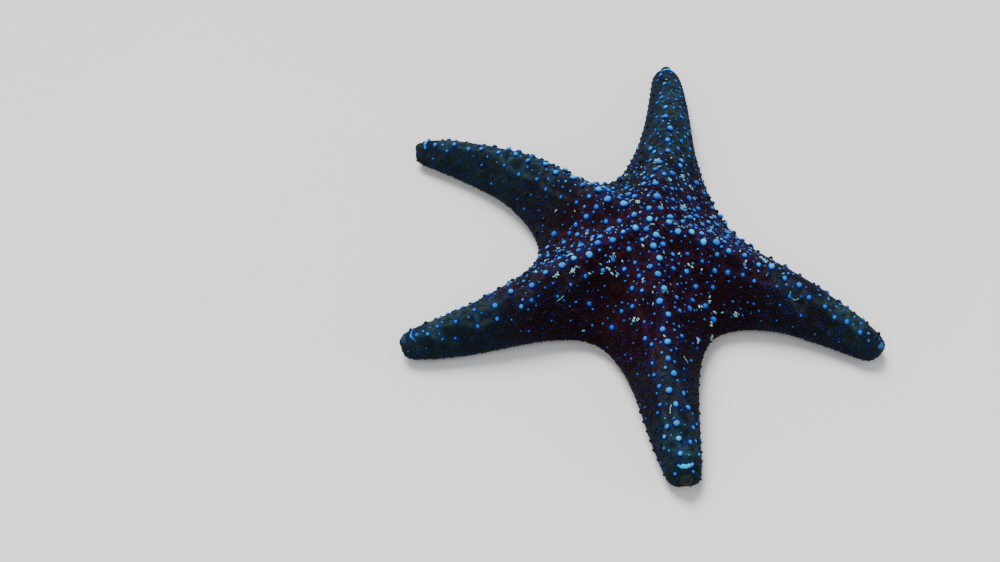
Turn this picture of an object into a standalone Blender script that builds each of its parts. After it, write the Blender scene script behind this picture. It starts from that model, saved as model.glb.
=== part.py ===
"""Knobbed cushion star (Pentaceraster), life size, resting on the floor.

The whole animal is modelled as one closed body: a coarse cage smoothed by Subdivision
Surface, with its knobs joined on.  Thin cuts then part it into the disc and five arms.
The sieve plate, the mouth and the five tip plates sit in pockets of their own.
Units are metres and +Z is up.  The animal's mouth side is down, on flats at z = 0.
"""

from math import atan2, cos, hypot, pi, radians, sin, sqrt, tan
from typing import NamedTuple

import bmesh
import bpy
from mathutils import Matrix, Vector
from mathutils.bvhtree import BVHTree


class Arm(NamedTuple):
    """One arm: where it points, how far it sweeps, its size, and the notch to its left."""

    name: str
    heading: float  # degrees from +X, where the arm leaves the disc
    bend: float  # degrees, how much the heading has turned at the tip
    reach: float  # from the disc's centre, measured along the arm
    stoutness: float
    notch: float  # centre to the outline in the gap that follows, as a share of the radius


# ---------------------------------------------------------------- driving dimensions
ARM_RADIUS = 0.130  # nominal radius of the animal, disc centre to arm tip

ARMS = (
    Arm("right", -20.6, -22.4, 0.1124, 1.014, 0.342),
    Arm("rear", 76.5, 13.6, 0.1350, 1.006, 0.347),
    Arm("left_rear", 136.2, 30.2, 0.1332, 1.008, 0.337),
    Arm("left_front", 207.8, -16.9, 0.1196, 0.991, 0.355),
    Arm("front", 273.3, 3.2, 0.1154, 1.012, 0.352),
)
EVEN_GAP = radians(360 / len(ARMS))

# disc
ARM_BASE = 0.40 * ARM_RADIUS  # where an arm starts, from the centre
APEX_HEIGHT = 0.288 * ARM_RADIUS
NOTCH_HEIGHT = 0.080 * ARM_RADIUS
NOTCH_INSET = 0.93  # the top and bottom outlines lie inside the rim's by this
DOME_POWER = 1.6
DISC_ROWS = (0.33, 0.67, 1.0)

# arms
ROOT_WIDTH = 0.136 * ARM_RADIUS  # half widths
TIP_WIDTH = 0.0624 * ARM_RADIUS
ROOT_HEIGHT = 0.253 * ARM_RADIUS
TIP_HEIGHT = 0.093 * ARM_RADIUS
TIP_LIFT = 0.018 * ARM_RADIUS
LIFT_START = 0.60
BLUNT_SHARE = 0.12  # last share of an arm, where it rounds off
BLUNT_WIDTH = 0.08  # how strongly its width and its height shrink there
BLUNT_HEIGHT = 0.36
TIP_AHEAD = 0.30  # how far the last point stands beyond the last ring, in half widths
ARM_RINGS = 5
RING_CROWDING = 1.15  # above 1, rings crowd together toward the tip
RIM_SHARE = 0.30  # height of the widest line, as a share of the arm's height
FLANK = ((0.86, 0.53), (0.46, 0.84))  # (half width, height) shares
SOLE = (0.86, 0.18)  # half-width shares of the flat underside
GROOVE_DEPTH = 0.030 * ARM_RADIUS
MOUTH_DEPTH = 0.035 * ARM_RADIUS
SOLE_SNAP = 0.0011  # underside points below this are set on the floor

# cuts and clearances
GAP = 0.0003
CUT_END = 0.001  # a cut stops this far short of the line between two arms
TOOL_HEIGHT = 0.12

# knobs
KNOB_SIDES = 5
KNOB_BANDS = 4
KNOB_RISE = 1.35  # half height over radius
KNOB_TURN = radians(23)  # keeps a knob's corners off the arm's middle plane
KNOB_SINK = 0.30  # a knob's middle lies this share of its radius under the skin
CARINAL_KNOBS = 9
CARINAL_START = 0.10
CARINAL_END = 0.93
CARINAL_RADIUS = (0.0024, 0.0015)  # at the root and at the tip
MARGIN_KNOBS = 5
MARGIN_RADIUS = (0.0017, 0.0012)
MARGIN_SHARE = 0.93
MARGIN_START = 0.14
MARGIN_END = 0.88
DISC_RINGS = ((0.0, 1, 0.0024), (0.125, 5, 0.0026), (0.255, 5, 0.0025))
DISC_SIDE_KNOBS = ((0.205, 0.5, 0.0022), (0.315, 0.27, 0.0019), (0.315, 0.73, 0.0019))

# sieve plate, mouth and tip plates
SIEVE_BETWEEN = ("left_front", "front")
SIEVE_AT = 0.245 * ARM_RADIUS
SIEVE_RADIUS = 0.0034
SIEVE_RISE = 0.0011
SIEVE_DEPTH = 0.0022
MOUTH_RADIUS = 0.0080
MOUTH_THICKNESS = 0.0030
MOUTH_HOLE = 0.0026
TIP_PLATE_RADIUS = 0.0031
TIP_PLATE_SINK = 0.0018
TURNED_SIDES = 10
TURNED_START = Matrix.Rotation(radians(11), 4, "Z")  # off the arms' middle planes

BODY_COLOUR = (0.030, 0.009, 0.016)
DISC_COLOUR = (0.036, 0.009, 0.014)
SIEVE_COLOUR = (0.060, 0.028, 0.030)
MOUTH_COLOUR = (0.36, 0.22, 0.15)
TIP_COLOUR = (0.050, 0.085, 0.110)


# ---------------------------------------------------------------- shape functions
def smooth_step(start, end, value):
    share = min(max((value - start) / (end - start), 0.0), 1.0)
    return share * share * (3 - 2 * share)


def blend(first, last, share):
    return first + (last - first) * share


def arm_line(arm, share):
    """Point and direction on an arm's centre line; share 0 is its base and 1 its tip."""
    start = radians(arm.heading)
    sweep = radians(arm.bend)
    length = arm.reach - ARM_BASE
    direction = start + sweep * share
    point = Vector((cos(start), sin(start), 0)) * ARM_BASE
    if abs(sweep) < 1e-9:
        return point + Vector((cos(start), sin(start), 0)) * length * share, direction
    radius = length / sweep
    turn = Vector((sin(direction) - sin(start), cos(start) - cos(direction), 0))
    return point + turn * radius, direction


def rounding(share, strength):
    """How much an arm keeps of its section as it rounds off at the tip."""
    past = (share - (1 - BLUNT_SHARE)) / BLUNT_SHARE
    return sqrt(1 - strength * past * past) if past > 0 else 1.0


def arm_half_width(arm, share):
    return blend(ROOT_WIDTH, TIP_WIDTH, share) * rounding(share, BLUNT_WIDTH) * arm.stoutness


def arm_height(share):
    return blend(ROOT_HEIGHT, TIP_HEIGHT, share) * rounding(share, BLUNT_HEIGHT)


def arm_lift(share):
    return TIP_LIFT * smooth_step(LIFT_START, 1.0, share)


def gap_after(index):
    """Start and width, in radians, of the gap that follows an arm anticlockwise."""
    start = radians(ARMS[index].heading)
    end = radians(ARMS[(index + 1) % len(ARMS)].heading)
    return start, (end - start) % (2 * pi)


def notch_point(index):
    """The outline's innermost point in the gap that follows an arm."""
    start, width = gap_after(index)
    middle = start + width / 2
    return Vector((cos(middle), sin(middle), 0)) * ARMS[index].notch * ARM_RADIUS


def dome(share, edge):
    """Height of the disc's top at a share of the way out to an edge of given height."""
    return edge + (APEX_HEIGHT - edge) * (1 - share**DOME_POWER)


# ---------------------------------------------------------------- the body's cage
class Cage:
    """A coarse closed net of the whole animal, built sector by sector."""

    def __init__(self):
        self.mesh = bmesh.new()
        self.top = self.vertex(Vector((0, 0, APEX_HEIGHT)))
        self.bottom = self.vertex(Vector((0, 0, MOUTH_DEPTH)))
        notches = [notch_point(k) for k in range(len(ARMS))]
        self.notches = notches
        self.rims = [self.vertex(p, NOTCH_HEIGHT * 0.35) for p in notches]
        self.top_seams = [self.seam(p, lambda u: dome(u, NOTCH_HEIGHT)) for p in notches]
        self.bottom_seams = [self.seam(p, lambda u: 0.0) for p in notches]

    def vertex(self, point, height=None):
        place = point if height is None else (point.x, point.y, height)
        return self.mesh.verts.new(place)

    def seam(self, notch, height_at):
        """Points from the centre to a notch, shared by the sectors on its two sides."""
        return [self.vertex(notch * NOTCH_INSET * u, height_at(u)) for u in DISC_ROWS]

    def face(self, *corners):
        self.mesh.faces.new(corners)

    def disc_rows(self, index):
        """The top and bottom rows of one sector, each running from its right notch."""
        arm = ARMS[index]
        right = index - 1
        base, _ = arm_line(arm, 0.0)
        tops = []
        bottoms = []
        for row, u in enumerate(DISC_ROWS):
            def across(notch, share):
                return base.lerp(notch * NOTCH_INSET, share) * u

            def top(notch, share):
                edge = blend(ROOT_HEIGHT, NOTCH_HEIGHT, share**0.8)
                return self.vertex(across(notch, share), dome(u, edge))

            def sole(notch, share, height=0.0):
                return self.vertex(across(notch, share), height)

            near, far = self.notches[right], self.notches[index]
            tops.append(
                [self.top_seams[right][row], top(near, 0.5), top(near, 0.0),
                 top(far, 0.5), self.top_seams[index][row]]
            )
            bottoms.append(
                [self.bottom_seams[right][row], sole(near, SOLE[-1]),
                 sole(near, 0.0, GROOVE_DEPTH), sole(far, SOLE[-1]),
                 self.bottom_seams[index][row]]
            )
        return tops, bottoms

    def arm_ring(self, arm, share):
        """One section of an arm, from its right rim over the ridge and back underneath."""
        centre, direction = arm_line(arm, share)
        width = arm_half_width(arm, share)
        height = arm_height(share)
        groove = GROOVE_DEPTH * min(1.0, width / (0.12 * ARM_RADIUS))
        side = Vector((-sin(direction), cos(direction), 0)) * width

        def at(lateral, level):
            return self.vertex(centre + side * lateral, level + arm_lift(share))

        over = [(-1.0, RIM_SHARE)] + [(-l, z) for l, z in FLANK] + [(0.0, 1.0)]
        over += [(l, z) for l, z in reversed(FLANK)] + [(1.0, RIM_SHARE)]
        under = [(l, 0.0) for l in SOLE] + [(0.0, groove)] + [(-l, 0.0) for l in reversed(SOLE)]
        return [at(l, z * height) for l, z in over] + [at(l, z) for l, z in under]

    def add_sector(self, index):
        """The slice of disc that carries one arm, and the arm."""
        arm = ARMS[index]
        tops, bottoms = self.disc_rows(index)
        for i in range(len(tops[0]) - 1):
            self.face(self.top, tops[0][i], tops[0][i + 1])
            self.face(self.bottom, bottoms[0][i + 1], bottoms[0][i])
            for inner, outer in zip(tops, tops[1:]):
                self.face(inner[i], outer[i], outer[i + 1], inner[i + 1])
            for inner, outer in zip(bottoms, bottoms[1:]):
                self.face(inner[i], inner[i + 1], outer[i + 1], outer[i])
        ring = [self.rims[index - 1]] + tops[-1] + [self.rims[index]] + bottoms[-1][::-1]
        share = 0.0
        for step in range(1, ARM_RINGS + 1):
            share = 1 - (1 - step / ARM_RINGS) ** RING_CROWDING
            following = self.arm_ring(arm, share)
            self.bridge(ring, following)
            ring = following
        self.close_tip(arm, ring, share)

    def bridge(self, ring, following):
        count = len(ring)
        for i in range(count):
            j = (i + 1) % count
            self.face(ring[i], following[i], following[j], ring[j])

    def close_tip(self, arm, ring, share):
        centre, direction = arm_line(arm, share)
        ahead = Vector((cos(direction), sin(direction), 0)) * arm_half_width(arm, share)
        ahead *= TIP_AHEAD
        tip = self.vertex(centre + ahead, arm_height(share) * 0.5 + arm_lift(share))
        for i in range(len(ring)):
            self.face(ring[i], tip, ring[(i + 1) % len(ring)])


# ---------------------------------------------------------------- scene helpers
def clear_scene():
    for item in list(bpy.data.objects):
        bpy.data.objects.remove(item, do_unlink=True)


def new_collection(name):
    collection = bpy.data.collections.new(name)
    bpy.context.scene.collection.children.link(collection)
    return collection


def object_from(name, mesh, collection):
    """An object from a bmesh, which is freed."""
    data = bpy.data.meshes.new(name)
    mesh.to_mesh(data)
    mesh.free()
    item = bpy.data.objects.new(name, data)
    collection.objects.link(item)
    return item


def cutter_from(name, mesh, collection):
    item = object_from(name, mesh, collection)
    item.display_type = "WIRE"
    item.hide_render = True
    return item


def evaluated_mesh(item):
    """The object's mesh with its modifiers applied, as a bmesh."""
    bpy.context.view_layer.update()
    graph = bpy.context.evaluated_depsgraph_get()
    mesh = bmesh.new()
    mesh.from_mesh(item.evaluated_get(graph).data)
    return mesh


def add_boolean(item, tool, operation):
    modifier = item.modifiers.new(tool.name, "BOOLEAN")
    modifier.object = tool
    modifier.operation = operation
    modifier.solver = "EXACT"


def finish_material(name, colour, roughness):
    material = bpy.data.materials.new(name)
    material.use_nodes = True
    shader = material.node_tree.nodes["Principled BSDF"]
    shader.inputs["Base Color"].default_value = (*colour, 1.0)
    shader.inputs["Roughness"].default_value = roughness
    shader.inputs["Metallic"].default_value = 0.0
    material.diffuse_color = (*colour, 1.0)
    return material


def finish(item, colour, roughness):
    item.data.materials.clear()
    item.data.materials.append(finish_material(f"{item.name}_finish", colour, roughness))
    for face in item.data.polygons:
        face.use_smooth = True


def stand_along(normal):
    """A turn that takes +Z onto a direction."""
    return normal.to_track_quat("Z", "Y").to_matrix().to_4x4()


# ---------------------------------------------------------------- body, knobs and cuts
def make_body(cutters):
    """The smoothed body, with its underside set on the floor, as a bmesh."""
    cage = Cage()
    for index in range(len(ARMS)):
        cage.add_sector(index)
    item = cutter_from("body_cage", cage.mesh, cutters)
    smoother = item.modifiers.new("smooth", "SUBSURF")
    smoother.levels = 1
    smoother.render_levels = 1
    body = evaluated_mesh(item)
    for vertex in body.verts:
        if vertex.co.z < SOLE_SNAP:
            vertex.co.z = 0.0
    return body


class Surface:
    """The body's skin, asked where a point on it lies and which way it faces."""

    def __init__(self, mesh):
        self.tree = BVHTree.FromBMesh(mesh)

    def below(self, point):
        start = Vector((point.x, point.y, TOOL_HEIGHT))
        place, normal, _, _ = self.tree.ray_cast(start, Vector((0, 0, -1)))
        return place, normal

    def from_outside(self, point, inward):
        reach = 0.05
        place, normal, _, _ = self.tree.ray_cast(point - inward * reach, inward)
        return place, normal


def add_knob(mesh, place, normal, radius):
    """A blunt knob standing on the skin, with its foot inside the body."""
    shape = Matrix.Diagonal((radius, radius, radius * KNOB_RISE, 1))
    middle = place - normal * radius * KNOB_SINK
    bmesh.ops.create_uvsphere(
        mesh, u_segments=KNOB_SIDES, v_segments=KNOB_BANDS, radius=1.0,
        matrix=Matrix.Translation(middle) @ stand_along(normal) @ shape
        @ Matrix.Rotation(KNOB_TURN, 4, "Z"),
    )


def arm_knobs(mesh, surface, arm):
    """The row of knobs along an arm's ridge, and the small ones on its two margins."""
    for i in range(CARINAL_KNOBS):
        run = i / (CARINAL_KNOBS - 1)
        share = blend(CARINAL_START, CARINAL_END, run)
        place, normal = surface.below(arm_line(arm, share)[0])
        add_knob(mesh, place, normal, blend(*CARINAL_RADIUS, run))
    for i in range(MARGIN_KNOBS):
        run = i / (MARGIN_KNOBS - 1)
        share = blend(MARGIN_START, MARGIN_END, run)
        centre, direction = arm_line(arm, share)
        level = RIM_SHARE * arm_height(share) * MARGIN_SHARE + arm_lift(share)
        centre.z = level
        for turn in (-1, 1):
            inward = Vector((sin(direction), -cos(direction), 0)) * turn
            place, normal = surface.from_outside(centre, inward)
            add_knob(mesh, place, normal, blend(*MARGIN_RADIUS, run))


def disc_knobs(mesh, surface):
    """Knobs in rings round the disc's centre, and pairs in the sectors between arms."""
    for distance, count, radius in DISC_RINGS:
        for index in range(count):
            heading = radians(ARMS[index].heading)
            point = Vector((cos(heading), sin(heading), 0)) * distance * ARM_RADIUS
            add_knob(mesh, *surface.below(point), radius)
    for index in range(len(ARMS)):
        start, width = gap_after(index)
        for distance, share, radius in DISC_SIDE_KNOBS:
            if is_sieve_place(index, share):
                continue
            heading = start + width * share
            point = Vector((cos(heading), sin(heading), 0)) * distance * ARM_RADIUS
            add_knob(mesh, *surface.below(point), radius)


def is_sieve_place(index, share):
    return ARMS[index].name == SIEVE_BETWEEN[0] and share == 0.5


def make_knobs(surface, cutters):
    mesh = bmesh.new()
    for arm in ARMS:
        arm_knobs(mesh, surface, arm)
    disc_knobs(mesh, surface)
    return cutter_from("knobs", mesh, cutters)


def add_cuts(mesh):
    """Thin upright slabs across the arm roots, from one line between arms to the next."""
    for index, arm in enumerate(ARMS):
        heading = radians(arm.heading)
        right = -ARM_BASE * tan(gap_after(index - 1)[1] / 2) + CUT_END
        left = ARM_BASE * tan(gap_after(index)[1] / 2) - CUT_END
        place = Matrix.Rotation(heading, 4, "Z") @ Matrix.Translation(
            (ARM_BASE, (left + right) / 2, 0)
        )
        size = Matrix.Diagonal((GAP, left - right, TOOL_HEIGHT, 1))
        bmesh.ops.create_cube(mesh, size=1.0, matrix=place @ size)


# ---------------------------------------------------------------- separate small parts
def dome_profile(radius, bottom, edge, crown, steps=3):
    """Half section of a low dome: flat below, upright edge, rounded crown."""
    points = [(0.0, bottom), (radius, bottom), (radius, edge)]
    for i in range(1, steps + 1):
        angle = pi / 2 * i / steps
        points.append((radius * cos(angle), edge + (crown - edge) * sin(angle)))
    return points


def pocket_profile(radius, bottom, top):
    return [(0.0, bottom), (radius, bottom), (radius, top), (0.0, top)]


def add_turned(mesh, profile, matrix):
    """Adds a solid turned round its own Z from a half section that starts and ends on Z."""
    verts = [mesh.verts.new((x, 0, z)) for x, z in profile]
    edges = [mesh.edges.new(pair) for pair in zip(verts, verts[1:])]
    before = set(mesh.verts) - set(verts)
    bmesh.ops.spin(
        mesh, geom=verts + edges, axis=(0, 0, 1), cent=(0, 0, 0), dvec=(0, 0, 0),
        angle=2 * pi, steps=TURNED_SIDES, use_merge=True,
    )
    made = [v for v in mesh.verts if v not in before]
    bmesh.ops.remove_doubles(mesh, verts=made, dist=1e-6)
    made = [v for v in mesh.verts if v not in before]
    bmesh.ops.transform(mesh, matrix=matrix @ TURNED_START, verts=made)


class Inset:
    """A small turned part and the pocket that it sits in, a gap wider all round."""

    def __init__(self, name, matrix, profile, pocket):
        self.name = name
        self.matrix = matrix
        self.profile = profile
        self.pocket = pocket

    def add_pocket(self, mesh):
        add_turned(mesh, self.pocket, self.matrix)

    def build(self, parts):
        mesh = bmesh.new()
        add_turned(mesh, self.profile, Matrix.Identity(4))
        bmesh.ops.recalc_face_normals(mesh, faces=mesh.faces)
        item = object_from(self.name, mesh, parts)
        item.matrix_world = self.matrix
        return item


def sieve_plate(surface):
    """The sieve plate, a pale button between two arms through which water is drawn in."""
    index = [arm.name for arm in ARMS].index(SIEVE_BETWEEN[0])
    start, width = gap_after(index)
    heading = start + width / 2
    place, normal = surface.below(Vector((cos(heading), sin(heading), 0)) * SIEVE_AT)
    matrix = Matrix.Translation(place) @ stand_along(normal)
    profile = dome_profile(SIEVE_RADIUS, -SIEVE_DEPTH, 0.0, SIEVE_RISE)
    pocket = pocket_profile(SIEVE_RADIUS + GAP, -SIEVE_DEPTH - GAP, 0.010)
    return Inset("madreporite", matrix, profile, pocket)


def mouth():
    """The mouth's disc, set up under the animal's centre, with the opening in it."""
    low = MOUTH_DEPTH - MOUTH_THICKNESS / 2
    high = low + MOUTH_THICKNESS
    profile = [
        (0.0, high), (MOUTH_RADIUS, high), (MOUTH_RADIUS, low + 0.0006),
        (MOUTH_RADIUS * 0.75, low), (MOUTH_HOLE, low + 0.0004), (MOUTH_HOLE * 0.6, high - 0.001),
        (0.0, high - 0.0009),
    ]
    pocket = pocket_profile(MOUTH_RADIUS + GAP, -0.002, high + GAP)
    return Inset("mouth", Matrix.Identity(4), profile, pocket)


def tip_plate(surface, arm):
    """The rounded plate that ends an arm, over its eyespot."""
    centre, direction = arm_line(arm, 1.0)
    ahead = Vector((cos(direction), sin(direction), 0))
    centre.z = arm_height(1.0) * 0.62 + arm_lift(1.0)
    place, _ = surface.from_outside(centre, -ahead)
    radius = TIP_PLATE_RADIUS
    matrix = Matrix.Translation(place - ahead * TIP_PLATE_SINK) @ stand_along(ahead)
    profile = dome_profile(radius, -radius * 0.8, 0.0, radius)
    pocket = pocket_profile(radius + GAP, -radius * 0.8 - GAP, radius * 3)
    return Inset(f"tip_plate_{arm.name}", matrix, profile, pocket)


def make_hollows(insets, cutters):
    """Everything that is cut out of the body, as one tool: the pockets and the thin cuts."""
    mesh = bmesh.new()
    for inset in insets:
        inset.add_pocket(mesh)
    add_cuts(mesh)
    bmesh.ops.recalc_face_normals(mesh, faces=mesh.faces)
    return cutter_from("hollows", mesh, cutters)


# ---------------------------------------------------------------- parting
def islands(mesh):
    """The mesh's separate closed shells, as sets of faces."""
    left = set(mesh.faces)
    while left:
        seed = left.pop()
        shell = {seed}
        frontier = [seed]
        while frontier:
            face = frontier.pop()
            for edge in face.edges:
                for other in edge.link_faces:
                    if other in left:
                        left.discard(other)
                        shell.add(other)
                        frontier.append(other)
        yield shell


def part_name(shell):
    """Which part a shell is, from where it lies round the disc's centre."""
    points = [face.calc_center_median() for face in shell]
    middle = sum(points, Vector()) / len(points)
    if hypot(middle.x, middle.y) < ARM_BASE / 2:
        return "disc"
    heading = atan2(middle.y, middle.x)

    def turn_from(arm):
        return abs((heading - radians(arm.heading + arm.bend / 3) + pi) % (2 * pi) - pi)

    return f"arm_{min(ARMS, key=turn_from).name}"


def split_body(mesh, parts):
    """One object for each shell of the cut body."""
    made = {}
    for shell in islands(mesh):
        name = part_name(shell)
        piece = bmesh.new()
        copies = {}
        for face in shell:
            for vertex in face.verts:
                if vertex not in copies:
                    copies[vertex] = piece.verts.new(vertex.co)
            piece.faces.new([copies[vertex] for vertex in face.verts])
        made[name] = object_from(name, piece, parts)
    mesh.free()
    return made


def move_origin(item, point):
    """Sets an object's own origin, leaving its shape where it is."""
    item.data.transform(Matrix.Translation(-point))
    item.location = point


def centre_on_floor(items, parts):
    """Parents everything to an empty, placed so the bounds' bottom centre is the origin."""
    bpy.context.view_layer.update()
    corners = [item.matrix_world @ v.co for item in items for v in item.data.vertices]
    middle_x = (min(p.x for p in corners) + max(p.x for p in corners)) / 2
    middle_y = (min(p.y for p in corners) + max(p.y for p in corners)) / 2
    floor = min(p.z for p in corners)
    root = bpy.data.objects.new("star_centre", None)
    parts.objects.link(root)
    for item in items:
        item.parent = root
    root.location = (-middle_x, -middle_y, -floor)


# ---------------------------------------------------------------- assembly
def main():
    clear_scene()
    parts = new_collection("knobbed_star")
    cutters = new_collection("cutters")

    skin = make_body(cutters)
    surface = Surface(skin)
    body = cutter_from("whole_body", skin, cutters)
    add_boolean(body, make_knobs(surface, cutters), "UNION")

    insets = [sieve_plate(surface), mouth()] + [tip_plate(surface, arm) for arm in ARMS]
    small = [inset.build(parts) for inset in insets]
    add_boolean(body, make_hollows(insets, cutters), "DIFFERENCE")

    pieces = split_body(evaluated_mesh(body), parts)
    for arm in ARMS:
        move_origin(pieces[f"arm_{arm.name}"], arm_line(arm, 0.0)[0])
        finish(pieces[f"arm_{arm.name}"], BODY_COLOUR, 0.72)
    finish(pieces["disc"], DISC_COLOUR, 0.72)

    colours = {"madreporite": (SIEVE_COLOUR, 0.6), "mouth": (MOUTH_COLOUR, 0.45)}
    for item in small:
        finish(item, *colours.get(item.name, (TIP_COLOUR, 0.5)))
    centre_on_floor(list(pieces.values()) + small, parts)


if __name__ == "__main__":
    main()
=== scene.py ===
"""The looks of a life-size knobbed sea star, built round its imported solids.

One skin covers the disc and the five arms.  Knobs, granules and spines are joined
meshes that stand on it, and the mouth, the sieve plate and the tip plates are pieces
of their own.  Lengths are metres, +Z is up and the animal lies mouth down on z = 0.
"""

import logging
from collections import defaultdict
from collections.abc import Callable, Iterable, Sequence
from dataclasses import dataclass, field, replace
from enum import Enum
from itertools import product
from math import cos, pi, radians, sin, sqrt, tan

import bmesh
import bpy
import numpy as np
from bmesh.types import BMesh, BMVert
from bpy.types import Material, Mesh, Node, NodeSocket, Object
from mathutils import Matrix, Vector
from mathutils.bvhtree import BVHTree
from mathutils.kdtree import KDTree


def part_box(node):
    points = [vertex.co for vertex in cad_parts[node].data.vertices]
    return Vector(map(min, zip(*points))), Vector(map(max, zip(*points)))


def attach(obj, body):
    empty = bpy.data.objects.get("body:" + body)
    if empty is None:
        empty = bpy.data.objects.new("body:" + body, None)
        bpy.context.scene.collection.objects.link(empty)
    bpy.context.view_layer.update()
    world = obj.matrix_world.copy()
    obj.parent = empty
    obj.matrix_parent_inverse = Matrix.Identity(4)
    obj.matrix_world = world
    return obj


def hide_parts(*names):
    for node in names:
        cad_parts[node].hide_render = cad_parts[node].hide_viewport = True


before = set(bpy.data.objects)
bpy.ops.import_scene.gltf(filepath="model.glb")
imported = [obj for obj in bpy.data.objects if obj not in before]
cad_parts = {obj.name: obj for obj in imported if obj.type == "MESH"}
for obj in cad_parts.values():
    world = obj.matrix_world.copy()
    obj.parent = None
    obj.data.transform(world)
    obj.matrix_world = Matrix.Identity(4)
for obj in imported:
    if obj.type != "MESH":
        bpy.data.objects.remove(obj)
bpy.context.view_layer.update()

LOG = logging.getLogger("sea_star")
MM = 0.001
BAKE_MAP = "OFBake"
Array = np.ndarray
Arrays = tuple[Array, Array]
Chance = np.random.Generator
Pair = tuple[float, float]
Triple = tuple[float, float, float]
Colour = Triple
Rule = Callable[[Array, Array], Array]
Hit = tuple[Vector, Vector]
Stand = tuple[Vector, Vector, float, float]


# ---- the animal's plan
class Side(Enum):
    """The two sides of an arm, as signs of the distance to the left of its line."""

    LEFT = 1
    RIGHT = -1


def smooth_step(start: float, end: float, value: Array | float) -> Array | float:
    """A soft rise from 0 at start to 1 at end.

    Args:
        start: Where the rise begins.
        end: Where it is complete.
        value: The place or places asked about.

    Returns:
        The share risen, of the same shape as value.
    """
    share = np.clip((value - start) / (end - start), 0.0, 1.0)
    return share * share * (3 - 2 * share)


def blend(ends: Pair, share: Array | float) -> Array | float:
    """The value a share of the way from the first end to the second."""
    return ends[0] + (ends[1] - ends[0]) * share


def unit(vectors: Array) -> Array:
    """Rows scaled to length 1."""
    return vectors / np.maximum(np.linalg.norm(vectors, axis=-1, keepdims=True), 1e-12)


def ahead_of(angle: float) -> Triple:
    """The level direction at an angle, anticlockwise from +X."""
    return cos(angle), sin(angle), 0.0


def left_of(angle: float) -> Triple:
    """The level direction a quarter turn anticlockwise from an angle."""
    return -sin(angle), cos(angle), 0.0


def box_middle(name: str) -> Array:
    """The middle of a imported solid's box."""
    low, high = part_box(name)
    return (np.array(low) + np.array(high)) / 2


@dataclass(frozen=True)
class ArmPlan:
    """Where one arm runs: it leaves the disc straight and then bends evenly.

    Notch is how far in the outline comes in the gap to its left.  The pair after it says,
    from 0 to 1, how few the knobs are on its left and right side and how much dimmer their
    colour is painted there, as painted shade on the sides turned to the front; waking is
    how far that gives way toward the tip.  Pitch is the step between the large knobs on its
    ridge, at the root and at the tip, and lean is how far their row drifts to the left by
    then, as a share of the half width.  Dwindle is how much smaller they are by the tip.
    Crest is the strength of the pale crest near the tip.
    """

    name: str
    heading: float
    bend: float
    reach: float
    stoutness: float
    notch: float
    sparse_and_shaded: Pair
    waking: float
    pitch: Pair
    lean: float
    dwindle: float
    crest: float
    base: float

    def sparse_and_shaded_on(self, side: Side, run: Array | float) -> Array | float:
        """How sparse and painted-shaded one side is at a distance along the arm."""
        sparse_and_shaded = self.sparse_and_shaded[0] if side is Side.LEFT else self.sparse_and_shaded[1]
        return sparse_and_shaded * (1 - self.waking * smooth_step(0.60, 0.74, run / self.reach))

    def share_at(self, run: float) -> float:
        """The share of the way from the arm's base to its tip, which is 0 on the disc."""
        return max(0.0, (run - self.base) / (self.reach - self.base))

    def line(self, share: float) -> tuple[Vector, float]:
        """A point on the arm's middle line.

        Args:
            share: 0 at the arm's base and 1 at its tip.

        Returns:
            The point, with the disc's centre as origin, and the direction in radians.
        """
        start = radians(self.heading)
        sweep = radians(self.bend)
        length = self.reach - self.base
        direction = start + sweep * share
        ahead = Vector(ahead_of(start))
        if abs(sweep) < 1e-9:
            return ahead * (self.base + length * share), direction
        turn = Vector((sin(direction) - sin(start), cos(start) - cos(direction), 0))
        return ahead * self.base + turn * (length / sweep), direction

    def at(self, run: float, lateral: float = 0.0) -> Vector:
        """A plan point of the arm.

        Args:
            run: The distance from the disc's centre along the arm.
            lateral: The distance to the left of its line.

        Returns:
            The point, with the disc's centre as origin.
        """
        if run < self.base:
            direction = radians(self.heading)
            point = Vector(ahead_of(direction)) * run
        else:
            point, direction = self.line(self.share_at(run))
        return point + Vector(left_of(direction)) * lateral


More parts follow.
